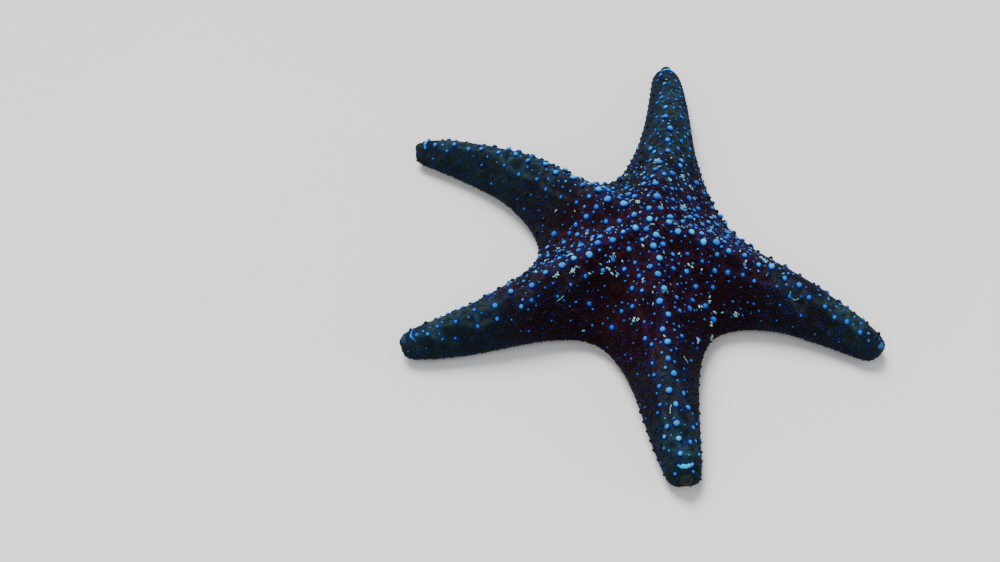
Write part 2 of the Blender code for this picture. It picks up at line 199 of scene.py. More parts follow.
@dataclass
class StarPlan:
    """The driving sizes of the whole animal, which the solids share."""

    radius: float = 0.130
    apex: float = 0.288
    notch_height: float = 0.080
    notch_inset: float = 0.93
    notch_rim: float = 0.35
    notch_power: float = 0.8
    dome_power: float = 1.6
    base: float = 0.40
    root_width: float = 0.136
    tip_width: float = 0.0624
    root_height: float = 0.253
    tip_height: float = 0.093
    tip_lift: float = 0.018
    lift_start: float = 0.60
    blunt: float = 0.12
    blunt_width: float = 0.08
    blunt_height: float = 0.36
    tip_ahead: float = 0.30
    rim: float = 0.30
    groove: float = 0.030
    groove_width: float = 0.12
    mouth_depth: float = 0.035
    sole: Pair = (0.86, 0.18)
    flank: tuple[Pair, ...] = ((0.86, 0.53), (0.46, 0.84))
    disc_rows: tuple[float, ...] = (0.33, 0.67, 1.0)
    rings: int = 5
    crowding: float = 1.15
    line_steps: int = 22
    past_tip: float = 1.04
    arms: tuple[ArmPlan, ...] = field(init=False)
    centre: Vector = field(init=False)

    def __post_init__(self) -> None:
        """Turns shares of the radius into metres, and sets out the arms."""
        for name in (
            "apex notch_height base root_width tip_width root_height tip_height "
            "tip_lift groove groove_width mouth_depth"
        ).split():
            setattr(self, name, getattr(self, name) * self.radius)
        rows = (
            ("right", -20.6, -22.4, 0.1124, 1.014, 0.342,
             (0.35, 1.0), 0.0, (6.4, 6.4), -0.32, 0.22, 0.0),
            ("rear", 76.5, 13.6, 0.1350, 1.006, 0.347,
             (0.4, 0.4), -1.0, (8.6, 11.0), 0.30, 0.10, 0.9),
            ("left_rear", 136.2, 30.2, 0.1332, 1.008, 0.337,
             (0.95, 0.1), 0.0, (7.2, 9.5), 0.08, 0.12, 0.7),
            ("left_front", 207.8, -16.9, 0.1196, 0.991, 0.355,
             (0.9, 0.2), 0.0, (5.3, 10.5), 0.08, 0.36, 0.3),
            ("front", 273.3, 3.2, 0.1154, 1.012, 0.352,
             (0.9, 1.0), 0.9, (6.2, 6.4), -0.10, 0.0, 1.0),
        )
        self.arms = tuple(ArmPlan(*row, self.base) for row in rows)
        self.centre = Vector((*box_middle("mouth")[:2], 0.0))

    def rounding(self, share: float, strength: float) -> float:
        """How much of its section an arm keeps as it rounds off at the tip."""
        past = (share - (1 - self.blunt)) / self.blunt
        return sqrt(1 - strength * past * past) if past > 0 else 1.0

    def half_width(self, arm: ArmPlan, share: float) -> float:
        """An arm's half width at a share of the way from its base to its tip."""
        width = blend((self.root_width, self.tip_width), share)
        return width * self.rounding(share, self.blunt_width) * arm.stoutness

    def height(self, share: float) -> float:
        """An arm's height at a share of the way from its base to its tip."""
        height = blend((self.root_height, self.tip_height), share)
        return height * self.rounding(share, self.blunt_height)

    def lift(self, share: float) -> float:
        """How far the arm's underside has risen off the floor."""
        return self.tip_lift * float(smooth_step(self.lift_start, 1.0, share))

    def gap_after(self, index: int) -> Pair:
        """Start and width, in radians, of the gap after an arm, anticlockwise."""
        start = radians(self.arms[index].heading)
        end = radians(self.arms[(index + 1) % len(self.arms)].heading)
        return start, (end - start) % (2 * pi)

    def notch_after(self, index: int) -> Vector:
        """The outline's innermost point in the gap after an arm, from the centre."""
        start, width = self.gap_after(index)
        return Vector(ahead_of(start + width / 2)) * self.arms[index].notch * self.radius

    def dome(self, share: float, edge: float) -> float:
        """Height of the disc's top, a share of the way out to an edge of this height."""
        return edge + (self.apex - edge) * (1 - share**self.dome_power)

    def places(self, points: Array) -> tuple[Array, Array, Array]:
        """Reads points in the arms' own terms.

        Args:
            points: Rows of x, y, z in the row's frame.

        Returns:
            The index of the nearest arm's line, the distance from the disc's centre
            along it, and the signed distance to the left of it.
        """
        flat = points[:, :2] - np.array(self.centre[:2])
        best = np.full(len(points), np.inf)
        arm_of = np.zeros(len(points), int)
        runs = np.zeros(len(points))
        sides = np.zeros(len(points))
        for index, arm in enumerate(self.arms):
            stops = np.linspace(self.base, arm.reach * self.past_tip, self.line_steps)
            stops = np.concatenate(([0.0], stops))
            line = np.array([arm.at(stop)[:2] for stop in stops])
            for first, last, run in zip(line, line[1:], stops):
                length = np.linalg.norm(last - first)
                along, offset = (last - first) / length, flat - first
                gone = np.clip(offset @ along, 0.0, length)
                distance = np.linalg.norm(offset - gone[:, None] * along, axis=1)
                nearer = distance < best
                best[nearer] = distance[nearer]
                arm_of[nearer] = index
                runs[nearer] = run + gone[nearer]
                sides[nearer] = (along[0] * offset[:, 1] - along[1] * offset[:, 0])[nearer]
        return arm_of, runs, sides


# ---- mesh helpers
def add_object(data: bpy.types.ID, name: str) -> Object:
    """Links a new object that shows a mesh, or is a lamp or a camera."""
    item = bpy.data.objects.new(name, data)
    bpy.context.scene.collection.objects.link(item)
    return item


def mesh_from_arrays(name: str, points: Array, faces: Array) -> Mesh:
    """A smooth-shaded mesh from arrays.

    Args:
        name: The mesh's name.
        points: Rows of x, y, z.
        faces: Rows of point indices, all with the same number of corners.

    Returns:
        The mesh.
    """
    mesh = bpy.data.meshes.new(name)
    corners = faces.shape[1]
    mesh.vertices.add(len(points))
    mesh.vertices.foreach_set("co", points.astype(np.float32).ravel())
    mesh.loops.add(faces.size)
    mesh.loops.foreach_set("vertex_index", faces.astype(np.int32).ravel())
    mesh.polygons.add(len(faces))
    mesh.polygons.foreach_set("loop_start", np.arange(0, faces.size, corners, dtype=np.int32))
    mesh.polygons.foreach_set("use_smooth", np.ones(len(faces), bool))
    mesh.update(calc_edges=True)
    return mesh


def mesh_from_net(name: str, net: BMesh) -> Mesh:
    """A mesh from an edited net, which goes."""
    mesh = bpy.data.meshes.new(name)
    net.to_mesh(mesh)
    net.free()
    return mesh


def read_mesh(mesh: Mesh) -> Arrays:
    """Reads a mesh.

    Args:
        mesh: The mesh.

    Returns:
        Its points and their normals, as rows.
    """
    points, normals = np.empty((2, len(mesh.vertices) * 3), np.float32)
    mesh.vertices.foreach_get("co", points)
    mesh.vertex_normals.foreach_get("vector", normals)
    return points.reshape(-1, 3).astype(float), normals.reshape(-1, 3).astype(float)


def set_tint(mesh: Mesh, name: str, values: Array) -> None:
    """Stores a number per point, for a finish to read."""
    layer = mesh.attributes.new(name, "FLOAT", "POINT")
    layer.data.foreach_set("value", values.astype(np.float32).ravel())


def tree_of(points: Array) -> KDTree:
    """A tree that finds which of these points is nearest to a place."""
    tree = KDTree(len(points))
    for index, point in enumerate(points):
        tree.insert(point, index)
    tree.balance()
    return tree


def nearest(points: Array, targets: Array) -> Arrays:
    """The nearest target to each point.

    Args:
        points: Rows of x, y, z.
        targets: Rows of x, y, z.

    Returns:
        The targets' indices and the distances.
    """
    tree = tree_of(targets)
    found = [tree.find(point)[1:] for point in points]
    return np.array([f[0] for f in found]), np.array([f[1] for f in found])


def evaluated(item: Object) -> Mesh:
    """The object's mesh with its modifiers applied, as a new mesh; the object goes."""
    graph = bpy.context.evaluated_depsgraph_get()
    mesh = bpy.data.meshes.new_from_object(item.evaluated_get(graph))
    bpy.data.objects.remove(item, do_unlink=True)
    return mesh


def dress(item: Object, material: Material) -> None:
    """Gives a piece its finish, in its one material slot, and its body."""
    item.data.materials.clear()
    item.data.materials.append(material)
    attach(item, "root")
    LOG.info("%s: %d faces", item.name, len(item.data.polygons))


def polar_net(rings: int, sides: int, place: Rule) -> Arrays:
    """A closed net of rings between two poles.

    Args:
        rings: How many rings lie between the poles.
        sides: How many points each ring has.
        place: Takes shares of the way from the upper pole and angles, and gives points.

    Returns:
        The points and the triangles.
    """
    shares = np.linspace(0.0, 1.0, rings + 2)[:, None]
    angles = (np.arange(sides) * 2 * pi / sides)[None]
    grid = place(np.repeat(shares, sides, axis=1), np.repeat(angles, rings + 2, axis=0))
    points = np.concatenate([grid[1:-1].reshape(-1, 3), grid[0, :1], grid[-1, :1]])
    top, bottom = rings * sides, rings * sides + 1
    faces = []
    for i, j in zip(range(sides), [*range(1, sides), 0]):
        last = (rings - 1) * sides
        faces += [(top, i, j), (bottom, last + j, last + i)]
        for low in range(0, last, sides):
            high = low + sides
            faces += [(low + i, high + i, low + j), (low + j, high + i, high + j)]
    return points, np.array(faces)


def round_axis(reach: Array, angle: Array, height: Array) -> Array:
    """Points at this reach and angle round an upright axis, and at this height."""
    return np.stack([reach * np.cos(angle), reach * np.sin(angle), height], axis=-1)


# ---- body surface
@dataclass
class BodyCage:
    """A coarse closed net of the whole animal, built sector by sector."""

    plan: StarPlan
    mesh: BMesh = field(default_factory=bmesh.new)

    def vertex(self, point: Vector, height: float) -> BMVert:
        """A point of the net, at a height above the floor."""
        return self.mesh.verts.new((point.x, point.y, height))

    def seam(self, notch: Vector, height_at: Callable[[float], float]) -> list[BMVert]:
        """Points from the centre to a notch, which the sectors on both sides share."""
        inset = self.plan.notch_inset
        return [self.vertex(notch * inset * u, height_at(u)) for u in self.plan.disc_rows]

    def build(self) -> Mesh:
        """Builds the net and smooths it.

        Returns:
            The smooth body, still a little stouter than the skin.
        """
        plan = self.plan
        self.top = self.vertex(Vector(), plan.apex)
        self.bottom = self.vertex(Vector(), plan.mouth_depth)
        self.notches = [plan.notch_after(index) for index in range(len(plan.arms))]
        self.rims = [self.vertex(p, plan.notch_height * plan.notch_rim) for p in self.notches]
        self.top_seams = [
            self.seam(p, lambda u: plan.dome(u, plan.notch_height)) for p in self.notches
        ]
        self.bottom_seams = [self.seam(p, lambda u: 0.0) for p in self.notches]
        for index in range(len(plan.arms)):
            self.add_sector(index)
        item = add_object(mesh_from_net("cage", self.mesh), "cage")
        smoother = item.modifiers.new("smooth", "SUBSURF")
        smoother.levels = smoother.render_levels = 3
        smooth = evaluated(item)
        smooth.transform(Matrix.Translation(plan.centre))
        return smooth

    def disc_rows(self, index: int) -> tuple[list[list[BMVert]], list[list[BMVert]]]:
        """The points that a sector of the disc is built on.

        Args:
            index: Which arm the sector carries.

        Returns:
            The rows of the back and of the underside, each from the right notch on.
        """
        plan = self.plan
        base = plan.arms[index].at(plan.base)
        near, far = self.notches[index - 1], self.notches[index]
        edge = plan.sole[-1]
        tops, bottoms = [], []
        for row, u in enumerate(plan.disc_rows):
            backs = [
                self.vertex(*self.on_dome(base, notch, share, u))
                for notch, share in ((near, 0.5), (near, 0.0), (far, 0.5))
            ]
            soles = [
                self.vertex(base.lerp(notch * plan.notch_inset, share) * u, height)
                for notch, share, height in (
                    (near, edge, 0.0), (near, 0.0, plan.groove), (far, edge, 0.0)
                )
            ]
            tops.append([self.top_seams[index - 1][row], *backs, self.top_seams[index][row]])
            bottoms.append(
                [self.bottom_seams[index - 1][row], *soles, self.bottom_seams[index][row]]
            )
        return tops, bottoms

    def on_dome(self, base: Vector, notch: Vector, share: float, u: float) -> tuple[Vector, float]:
        """A plan point on the disc's back and its height.

        Args:
            base: Where the arm's line leaves the disc.
            notch: The outline's innermost point on one side of it.
            share: How far over from the arm's line to the notch.
            u: How far out from the centre.

        Returns:
            The point and the height.
        """
        plan = self.plan
        point = base.lerp(notch * plan.notch_inset, share) * u
        fall = (plan.notch_height - plan.root_height) * share**plan.notch_power
        return point, plan.dome(u, plan.root_height + fall)

    def arm_ring(self, arm: ArmPlan, share: float) -> list[BMVert]:
        """One section of an arm.

        Args:
            arm: The arm.
            share: How far from its base to its tip.

        Returns:
            The points, from the right rim over the ridge and back below.
        """
        plan = self.plan
        centre, direction = arm.line(share)
        width, height, lift = plan.half_width(arm, share), plan.height(share), plan.lift(share)
        groove = plan.groove * min(1.0, width / plan.groove_width)
        side = Vector(left_of(direction)) * width
        over = [(-1.0, plan.rim)] + [(-l, z) for l, z in plan.flank] + [(0.0, 1.0)]
        over += [(l, z) for l, z in reversed(plan.flank)] + [(1.0, plan.rim)]
        under = [(l, 0.0) for l in plan.sole] + [(0.0, groove)]
        under += [(-l, 0.0) for l in reversed(plan.sole)]
        ring = [self.vertex(centre + side * l, z * height + lift) for l, z in over]
        return ring + [self.vertex(centre + side * l, z + lift) for l, z in under]

    def add_sector(self, index: int) -> None:
        """Adds the slice of disc that carries one arm, and the arm.

        Args:
            index: Which arm.
        """
        plan, arm, face = self.plan, self.plan.arms[index], self.mesh.faces.new
        tops, bottoms = self.disc_rows(index)
        for i in range(len(tops[0]) - 1):
            face((self.top, tops[0][i], tops[0][i + 1]))
            face((self.bottom, bottoms[0][i + 1], bottoms[0][i]))
            for inner, outer in zip(tops, tops[1:]):
                face((inner[i], outer[i], outer[i + 1], inner[i + 1]))
            for inner, outer in zip(bottoms, bottoms[1:]):
                face((inner[i], inner[i + 1], outer[i + 1], outer[i]))
        ring = [self.rims[index - 1]] + tops[-1] + [self.rims[index]] + bottoms[-1][::-1]
        share = 0.0
        for step in range(1, plan.rings + 1):
            share = 1 - (1 - step / plan.rings) ** plan.crowding
            following = self.arm_ring(arm, share)
            for i in range(len(ring)):
                j = (i + 1) % len(ring)
                face((ring[i], following[i], following[j], ring[j]))
            ring = following
        point, direction = arm.line(share)
        ahead = Vector(ahead_of(direction)) * plan.half_width(arm, share) * plan.tip_ahead
        tip = self.vertex(point + ahead, plan.height(share) / 2 + plan.lift(share))
        for i in range(len(ring)):
            face((ring[i], tip, ring[(i + 1) % len(ring)]))


@dataclass
class Surface:
    """A surface that can be asked where a point on it lies and which way it faces."""

    mesh: Mesh
    ceiling: float = 0.1

    def __post_init__(self) -> None:
        """Builds the search tree, with its triangles and their areas."""
        self.points, _ = read_mesh(self.mesh)
        self.mesh.calc_loop_triangles()
        faces = np.empty(len(self.mesh.loop_triangles) * 3, np.int32)
        self.mesh.loop_triangles.foreach_get("vertices", faces)
        self.faces = faces.reshape(-1, 3)
        a, b, c = (self.points[corner] for corner in self.faces.T)
        cross = np.cross(b - a, c - a)
        self.areas = np.linalg.norm(cross, axis=1) / 2
        self.facing = unit(cross)
        self.tree = BVHTree.FromPolygons(self.points.tolist(), self.faces.tolist())

    def met(self, start: Vector, direction: Vector) -> Hit | None:
        """The place and normal where a straight line first meets it, or None."""
        place, normal, _, _ = self.tree.ray_cast(start, direction)
        return None if place is None else (place, normal)

    def below(self, point: Vector) -> Hit | None:
        """The place and normal on the back at a plan point, or None beside the body."""
        return self.met(Vector((point.x, point.y, self.ceiling)), Vector((0, 0, -1)))

    def above(self, point: Vector) -> Hit | None:
        """The place and normal on the underside at a plan point, or None beside it."""
        return self.met(Vector((point.x, point.y, -self.ceiling)), Vector((0, 0, 1)))

    def seat(self, points: Array) -> Arrays:
        """Moves points to the nearest place on the surface, and gives the normals."""
        found = [self.tree.find_nearest(point)[:2] for point in points]
        return np.array([f[0] for f in found]), np.array([f[1] for f in found])

    def sprinkle(self, count: int, rng: Chance, wanted: Rule) -> Arrays:
        """Random places, even over the area where they are wanted.

        Args:
            count: How many places are tried.
            rng: The source of chance.
            wanted: Takes places and normals, and gives the chance of keeping each.

        Returns:
            The places kept and their normals.
        """
        chosen = rng.choice(len(self.areas), count, p=self.areas / self.areas.sum())
        r, s = np.sqrt(rng.random(count)), rng.random(count)
        weights = np.stack([1 - r, r * (1 - s), r * s], axis=1)
        places = (self.points[self.faces[chosen]] * weights[:, :, None]).sum(axis=1)
        normals = self.facing[chosen]
        kept = rng.random(count) < wanted(places, normals)
        return places[kept], normals[kept]


def thin_out(places: Array, spacing: Array, taken: Array, taken_reach: Array) -> Array:
    """Picks places in order so that none is too near another.

    Args:
        places: Rows of x, y, z, in the order they are tried.
        spacing: The room that each place needs round it.
        taken: Places that are already in use.
        taken_reach: The room round each of those.

    Returns:
        The indices of the places kept.
    """
    cell = float(max(spacing.max(), taken_reach.max() if len(taken) else 0.0))
    grid: dict[tuple[int, ...], list[tuple[float, ...]]] = defaultdict(list)
    for point, reach in zip(taken.tolist(), taken_reach.tolist()):
        grid[tuple(int(c // cell) for c in point)].append((*point, reach))
    steps = list(product((-1, 0, 1), repeat=3))
    kept = []
    for index, ((x, y, z), room) in enumerate(zip(places.tolist(), spacing.tolist())):
        i, j, k = int(x // cell), int(y // cell), int(z // cell)
        free = True
        for di, dj, dk in steps:
            for a, b, c, reach in grid.get((i + di, j + dj, k + dk), ()):
                limit = max(reach, room)
                if (a - x) ** 2 + (b - y) ** 2 + (c - z) ** 2 < limit * limit:
                    free = False
                    break
            if not free:
                break
        if free:
            kept.append(index)
            grid[(i, j, k)].append((x, y, z, room))
    return np.array(kept, int)


# ---- crowds of small solids
@dataclass(frozen=True)
class Pattern:
    """One small solid of unit radius, standing on +Z, that a crowd repeats."""

    points: Array
    faces: Array
    crown: Array
    spread: Array

    @classmethod
    def turned(cls, profile: Sequence[Pair], sides: int) -> "Pattern":
        """A closed solid turned round Z.

        Args:
            profile: Radius and height of each ring, from the foot up; the last is the
                peak, where the radius is taken as 0.
            sides: How many sides each ring has.

        Returns:
            The pattern, with crown rising from 0 at the foot to 1 at the peak.
        """
        rings = profile[:-1]
        angles = np.arange(sides) * 2 * pi / sides
        points, spread = [], []
        for level, (radius, height) in enumerate(rings):
            reach = 1 - level / len(rings)
            for angle in angles + level * pi / sides:
                points.append((radius * cos(angle), radius * sin(angle), height))
                spread.append((reach * cos(angle) / 2, reach * sin(angle) / 2))
        points.append((0.0, 0.0, profile[-1][1]))
        spread.append((0.0, 0.0))
        faces = [(0, i + 1, i) for i in range(1, sides - 1)]
        for level in range(len(rings) - 1):
            low, high = level * sides, (level + 1) * sides
            for i in range(sides):
                j = (i + 1) % sides
                faces += [(low + i, low + j, high + i), (low + j, high + j, high + i)]
        last = (len(rings) - 1) * sides
        faces += [(last + i, last + (i + 1) % sides, len(points) - 1) for i in range(sides)]
        array = np.array(points)
        crown = smooth_step(0.0, profile[-1][1], array[:, 2])
        return cls(array, np.array(faces), crown, np.array(spread))

    def squeezed(self, width: float) -> "Pattern":
        """The same solid, narrower from side to side than it is long."""
        return replace(self, points=self.points * (1.0, width, 1.0))


@dataclass
class Places:
    """Where like things stand: a place, a normal, a size and a paleness for each."""

    points: Array
    normals: Array
    radii: Array
    pallor: Array

    @classmethod
    def joined(cls, groups: Iterable["Places"]) -> "Places":
        """Several groups as one."""
        parts = zip(*((g.points, g.normals, g.radii, g.pallor) for g in groups))
        return cls(*(np.concatenate(part) for part in parts))

    @classmethod
    def listed(cls, found: list[Stand]) -> "Places":
        """Places from a list of place, normal, radius and paleness."""
        return cls(*(np.array(part) for part in zip(*found)))

    @classmethod
    def none(cls) -> "Places":
        """No places."""
        return cls(np.empty((0, 3)), np.empty((0, 3)), np.empty(0), np.empty(0))

    def chosen(self, indices: Array) -> "Places":
        """Some of the places."""
        return Places(
            self.points[indices], self.normals[indices], self.radii[indices],
            self.pallor[indices],
        )

    def outside(self, others: "Places") -> "Places":
        """The places that keep out of the room round others."""
        gaps = np.linalg.norm(self.points[:, None] - others.points[None], axis=2)
        return self.chosen(np.all(gaps > others.radii[None] + self.radii[:, None], axis=1))

    def clear_of(self, taken: "Places", room: float) -> "Places":
        """The places that have room round them, tried in order."""
        rooms, taken_rooms = (np.full(len(p.points), room) for p in (self, taken))
        return self.chosen(thin_out(self.points, rooms, taken.points, taken_rooms))

    def seated(self, surface: Surface) -> "Places":
        """The same things standing on another surface."""
        points, normals = surface.seat(self.points)
        return Places(points, normals, self.radii, self.pallor)


@dataclass
class Crowd:
    """Many like solids standing on the skin, joined in one mesh."""

    name: str
    pattern: Pattern
    places: Places
    rise_spread: float = 0.12
    lumps: float = 0.06
    lean: float = 0.10
    floor: float = 0.00003
    square: float = 0.84
    along: Array | None = None

    def build(self, rng: Chance) -> Object:
        """Builds the joined mesh.

        Args:
            rng: The source of chance for turns, leans and lumps.

        Returns:
            The object, with the tints crown and pallor.
        """
        count, corners = len(self.places.points), len(self.pattern.points)
        up = unit(self.places.normals + rng.normal(0, self.lean, (count, 3)))
        aim = unit(rng.normal(0, 1, (count, 3))) if self.along is None else self.along
        across = unit(aim - up * np.sum(aim * up, axis=1, keepdims=True))
        over = np.cross(up, across)
        local = np.repeat(self.pattern.points[None], count, axis=0)
        angle = np.arctan2(local[:, :, 1], local[:, :, 0])
        swell = np.ones((count, corners))
        for waves in (1, 2, 3):
            phase = rng.random((count, 1)) * 2 * pi
            tilt = rng.normal(0, 1.5, (count, 1)) * local[:, :, 2]
            swell += self.lumps / waves * 1.6 * np.cos(waves * angle + phase + tilt)
        local[:, :, :2] *= swell[:, :, None]
        tall = 1 + rng.normal(0, self.rise_spread, (count, 1)).clip(-0.2, 0.2)
        local[:, :, 2] *= tall
        local *= self.places.radii[:, None, None]
        points = (
            self.places.points[:, None]
            + local[:, :, :1] * across[:, None]
            + local[:, :, 1:2] * over[:, None]
            + local[:, :, 2:] * up[:, None]
        ).reshape(-1, 3)
        points[:, 2] = points[:, 2].clip(self.floor)
        offsets = np.arange(count)[:, None, None] * corners
        faces = (self.pattern.faces[None] + offsets).reshape(-1, 3)
        mesh = mesh_from_arrays(self.name, points, faces)
        set_tint(mesh, "crown", np.tile(self.pattern.crown, count))
        set_tint(mesh, "pallor", np.repeat(self.places.pallor, corners))
        self.lay_out(mesh, faces)
        return add_object(mesh, self.name)

    def show(self, rng: Chance, material: Material) -> None:
        """Builds the mesh and dresses it."""
        dress(self.build(rng), material)

    def lay_out(self, mesh: Mesh, faces: Array) -> None:
        """Gives each solid a square of the bake map, opened out round its peak."""
        count = len(self.places.points)
        columns = int(np.ceil(sqrt(count)))
        cells = np.stack([np.arange(count) % columns, np.arange(count) // columns], axis=1)
        self.write_map(mesh, faces, (cells + 0.5) / columns, self.square / columns)

    def write_map(self, mesh: Mesh, faces: Array, middles: Array, size: float) -> None:
        """Writes the bake map.

        Args:
            mesh: The joined mesh.
            faces: Its triangles.
            middles: The middle of each solid's patch.
            size: How wide a patch is.
        """
        spots = (middles[:, None] + self.pattern.spread[None] * size).reshape(-1, 2)
        layer = mesh.uv_layers.new(name=BAKE_MAP)
        layer.uv.foreach_set("vector", spots[faces].astype(np.float32).ravel())


@dataclass
class Coat(Crowd):
    """A crowd so dense that it coats the skin, with the skin's own markings."""

    plan: StarPlan | None = None
    patch: float = 0.003
    core_height: float = 6 * MM
    strip: Pair = (0.03, 0.97)
    column: Pair = (0.02, 0.98)
    longest: float = 1.15

    def lay_out(self, mesh: Mesh, faces: Array) -> None:
        """Gives each grain a tiny patch at its root, on the skin opened arm by arm."""
        roots = self.places.points
        arm_of, runs, sides = self.plan.places(roots)
        turn = np.arctan2(roots[:, 2] - self.core_height, sides) / (2 * pi) + 0.5
        across = (arm_of + blend(self.strip, turn)) / len(self.plan.arms)
        along = blend(self.column, runs / (self.plan.radius * self.longest))
        self.write_map(mesh, faces, np.stack([across, along], axis=1), self.patch)


# ---- where the knobs stand
@dataclass
class KnobPlan:
    """Sets out the knobs: rows on the arms, a scatter on the disc, and the margins."""

    plan: StarPlan
    surface: Surface
    rng: Chance
    row_end: float = 4.5 * MM
    ridge_start: float = 7.0 * MM
    ridge_radii: Pair = (1.56 * MM, 1.10 * MM)
    zigzag: Pair = (1.0 * MM, 0.5 * MM)
    flank_rows: tuple[Triple, ...] = (
        (0.42, 6.6 * MM, 1.22 * MM), (0.66, 8.0 * MM, 0.90 * MM),
    )
    flank_room: float = 3.7 * MM
    calm_skip: float = 0.80
    lively: Pair = (24 * MM, 50 * MM)
    calm_size: float = 0.72
    off_ridge: Pair = (2 * MM, 7 * MM)
    disc_tries: int = 6000
    disc_reach: Pair = (40 * MM, 56 * MM)
    disc_room: float = 4.9 * MM
    disc_radii: Pair = (0.96 * MM, 1.46 * MM)
    disc_pallor: float = 0.80
    spot_tries: int = 14000
    spot_reach: Pair = (35 * MM, 80 * MM)
    spot_room: float = 2.7 * MM
    spot_radii: Pair = (0.34 * MM, 0.80 * MM)
    spot_pallor: float = 0.7
    margin_rows: tuple[Triple, ...] = (
        (0.60, 7.0 * MM, 1.15 * MM), (0.26, 4.4 * MM, 0.85 * MM),
    )
    margin_step: float = 0.35 * MM
    margin_end: float = 3.5 * MM
    crest_back: float = 4.0 * MM
    crest_reach: float = 3.4 * MM
    crest_step: float = 1.05 * MM

    def set_out(self, kept_clear: Places) -> None:
        """Chooses every knob's place.

        Args:
            kept_clear: Where other pieces stand, with the room that each needs.
        """
        ridge = self.ridge()
        flanks = self.flanks().clear_of(ridge, self.flank_room)
        rows = Places.joined([ridge, flanks]).outside(kept_clear)
        disc = self.scatter(self.disc_tries, self.disc_radii, self.disc_pallor, self.on_disc)
        disc = disc.clear_of(rows, self.disc_room).outside(kept_clear)
        self.large = Places.joined([rows, disc])
        margins = Places.joined([self.margin_row(*row) for row in self.margin_rows])
        self.margins = margins.outside(kept_clear)
        self.crests = self.tip_crests()
        standing = Places.joined([self.large, self.margins, self.crests])
        spots = self.scatter(self.spot_tries, self.spot_radii, self.spot_pallor, self.on_back)
        self.small = spots.clear_of(standing, self.spot_room).outside(kept_clear)
        LOG.info("knobs set out: %d large, %d small, %d on the margins",
                 len(self.large.points), len(self.small.points), len(self.margins.points))

    def sparse_and_shaded(self, points: Array) -> Array:
        """How few the knobs are, and how much dimmer their colour is painted, as shade.

        Args:
            points: Rows of x, y, z.

        Returns:
            That share at each point, from 0 to 1.
        """
        arm_of, runs, sides = self.plan.places(points)
        sparse_and_shaded = np.zeros(len(points))
        for index, arm in enumerate(self.plan.arms):
            for side in Side:
                here = (arm_of == index) & (sides * side.value > 0)
                sparse_and_shaded[here] = arm.sparse_and_shaded_on(side, runs[here])
        sparse_and_shaded = sparse_and_shaded * smooth_step(*self.off_ridge, np.abs(sides))
        return sparse_and_shaded * smooth_step(*self.lively, self.from_centre(points))

    def from_centre(self, points: Array) -> Array:
        """Distance from the middle of the disc."""
        return np.linalg.norm(points - np.array(self.plan.centre), axis=1)

    def on_disc(self, points: Array, normals: Array) -> Array:
        """The chance of a disc knob."""
        near = 1 - smooth_step(*self.disc_reach, self.from_centre(points))
        return near * (normals[:, 2] > 0.3) * (1 - 0.90 * self.sparse_and_shaded(points))

    def on_back(self, points: Array, normals: Array) -> Array:
        """The chance of a small spot."""
        near = 1 - smooth_step(*self.spot_reach, self.from_centre(points))
        chance = (0.22 + 0.78 * near) * (normals[:, 2] > 0.02)
        return chance * (1 - 0.80 * self.sparse_and_shaded(points))

    def wobble(self, size: float) -> float:
        """A small random shift."""
        return float(self.rng.normal(0, size))

    def on_arm(
        self, arm: ArmPlan, run: float, lateral: float, radius: float, pallor: float
    ) -> list[Stand]:
        """A knob on the back, from its place along and across an arm, or nothing."""
        hit = self.surface.below(arm.at(run, lateral) + self.plan.centre)
        return [] if hit is None else [(*hit, radius, float(np.clip(pallor, 0.05, 1.0)))]

    def ridge(self) -> Places:
        """Sets out the large knobs along each arm's ridge, and the one at the centre.

        Returns:
            The knobs.
        """
        found = [(*self.surface.below(self.plan.centre), self.ridge_radii[0], 0.9)]
        for arm in self.plan.arms:
            run = self.ridge_start + abs(self.wobble(1.5 * MM))
            side = 1
            while run < arm.reach - self.row_end:
                share = run / arm.reach
                outer = smooth_step(0.45, 0.80, share)
                shrunk = arm.dwindle * outer
                radius = blend(self.ridge_radii, share)
                radius *= (1 - shrunk) * (1 + self.wobble(0.10))
                width = self.plan.half_width(arm, arm.share_at(run))
                lateral = side * blend(self.zigzag, share) + arm.lean * outer * width
                lateral += self.wobble(0.4 * MM)
                pallor = 0.68 - 0.20 * share - shrunk + self.wobble(0.20)
                found += self.on_arm(arm, run, lateral, radius, pallor)
                side = -side
                run += blend(arm.pitch, share) * MM * (1 + self.wobble(0.10))
        return Places.listed(found)

    def flanks(self) -> Places:
        """Sets out the looser rows on each side of the ridges.

        Returns:
            The knobs.
        """
        found = []
        for index, arm in enumerate(self.plan.arms):
            for side in Side:
                gap = self.plan.gap_after(index if side is Side.LEFT else index - 1)[1]
                for level, pitch, widest in self.flank_rows:
                    run = 9 * MM + self.rng.random() * pitch
                    while run < arm.reach * 0.93:
                        sparse_and_shaded = arm.sparse_and_shaded_on(side, run)
                        share = arm.share_at(run)
                        lateral = level * self.plan.half_width(arm, share)
                        fits = lateral < run * tan(gap / 2) - 1.5 * MM
                        skip = 0.06 + 0.22 * share
                        skip += self.calm_skip * sparse_and_shaded * smooth_step(0.25, 0.70, level)
                        if fits and self.rng.random() > skip:
                            radius = widest * blend((1.0, self.calm_size), sparse_and_shaded)
                            radius *= (1 - 0.30 * share) * (1 + self.wobble(0.16))
                            found += self.on_arm(
                                arm, run + self.wobble(0.9 * MM),
                                side.value * (lateral + self.wobble(0.8 * MM)), radius,
                                # painted shade: the pallor falls by a quarter on the sparse,
                                # shaded side
                                0.55 - 0.15 * share - 0.25 * sparse_and_shaded + self.wobble(0.22),
                            )
                        run += pitch * (1 + self.wobble(0.14))
        return Places.listed(found)

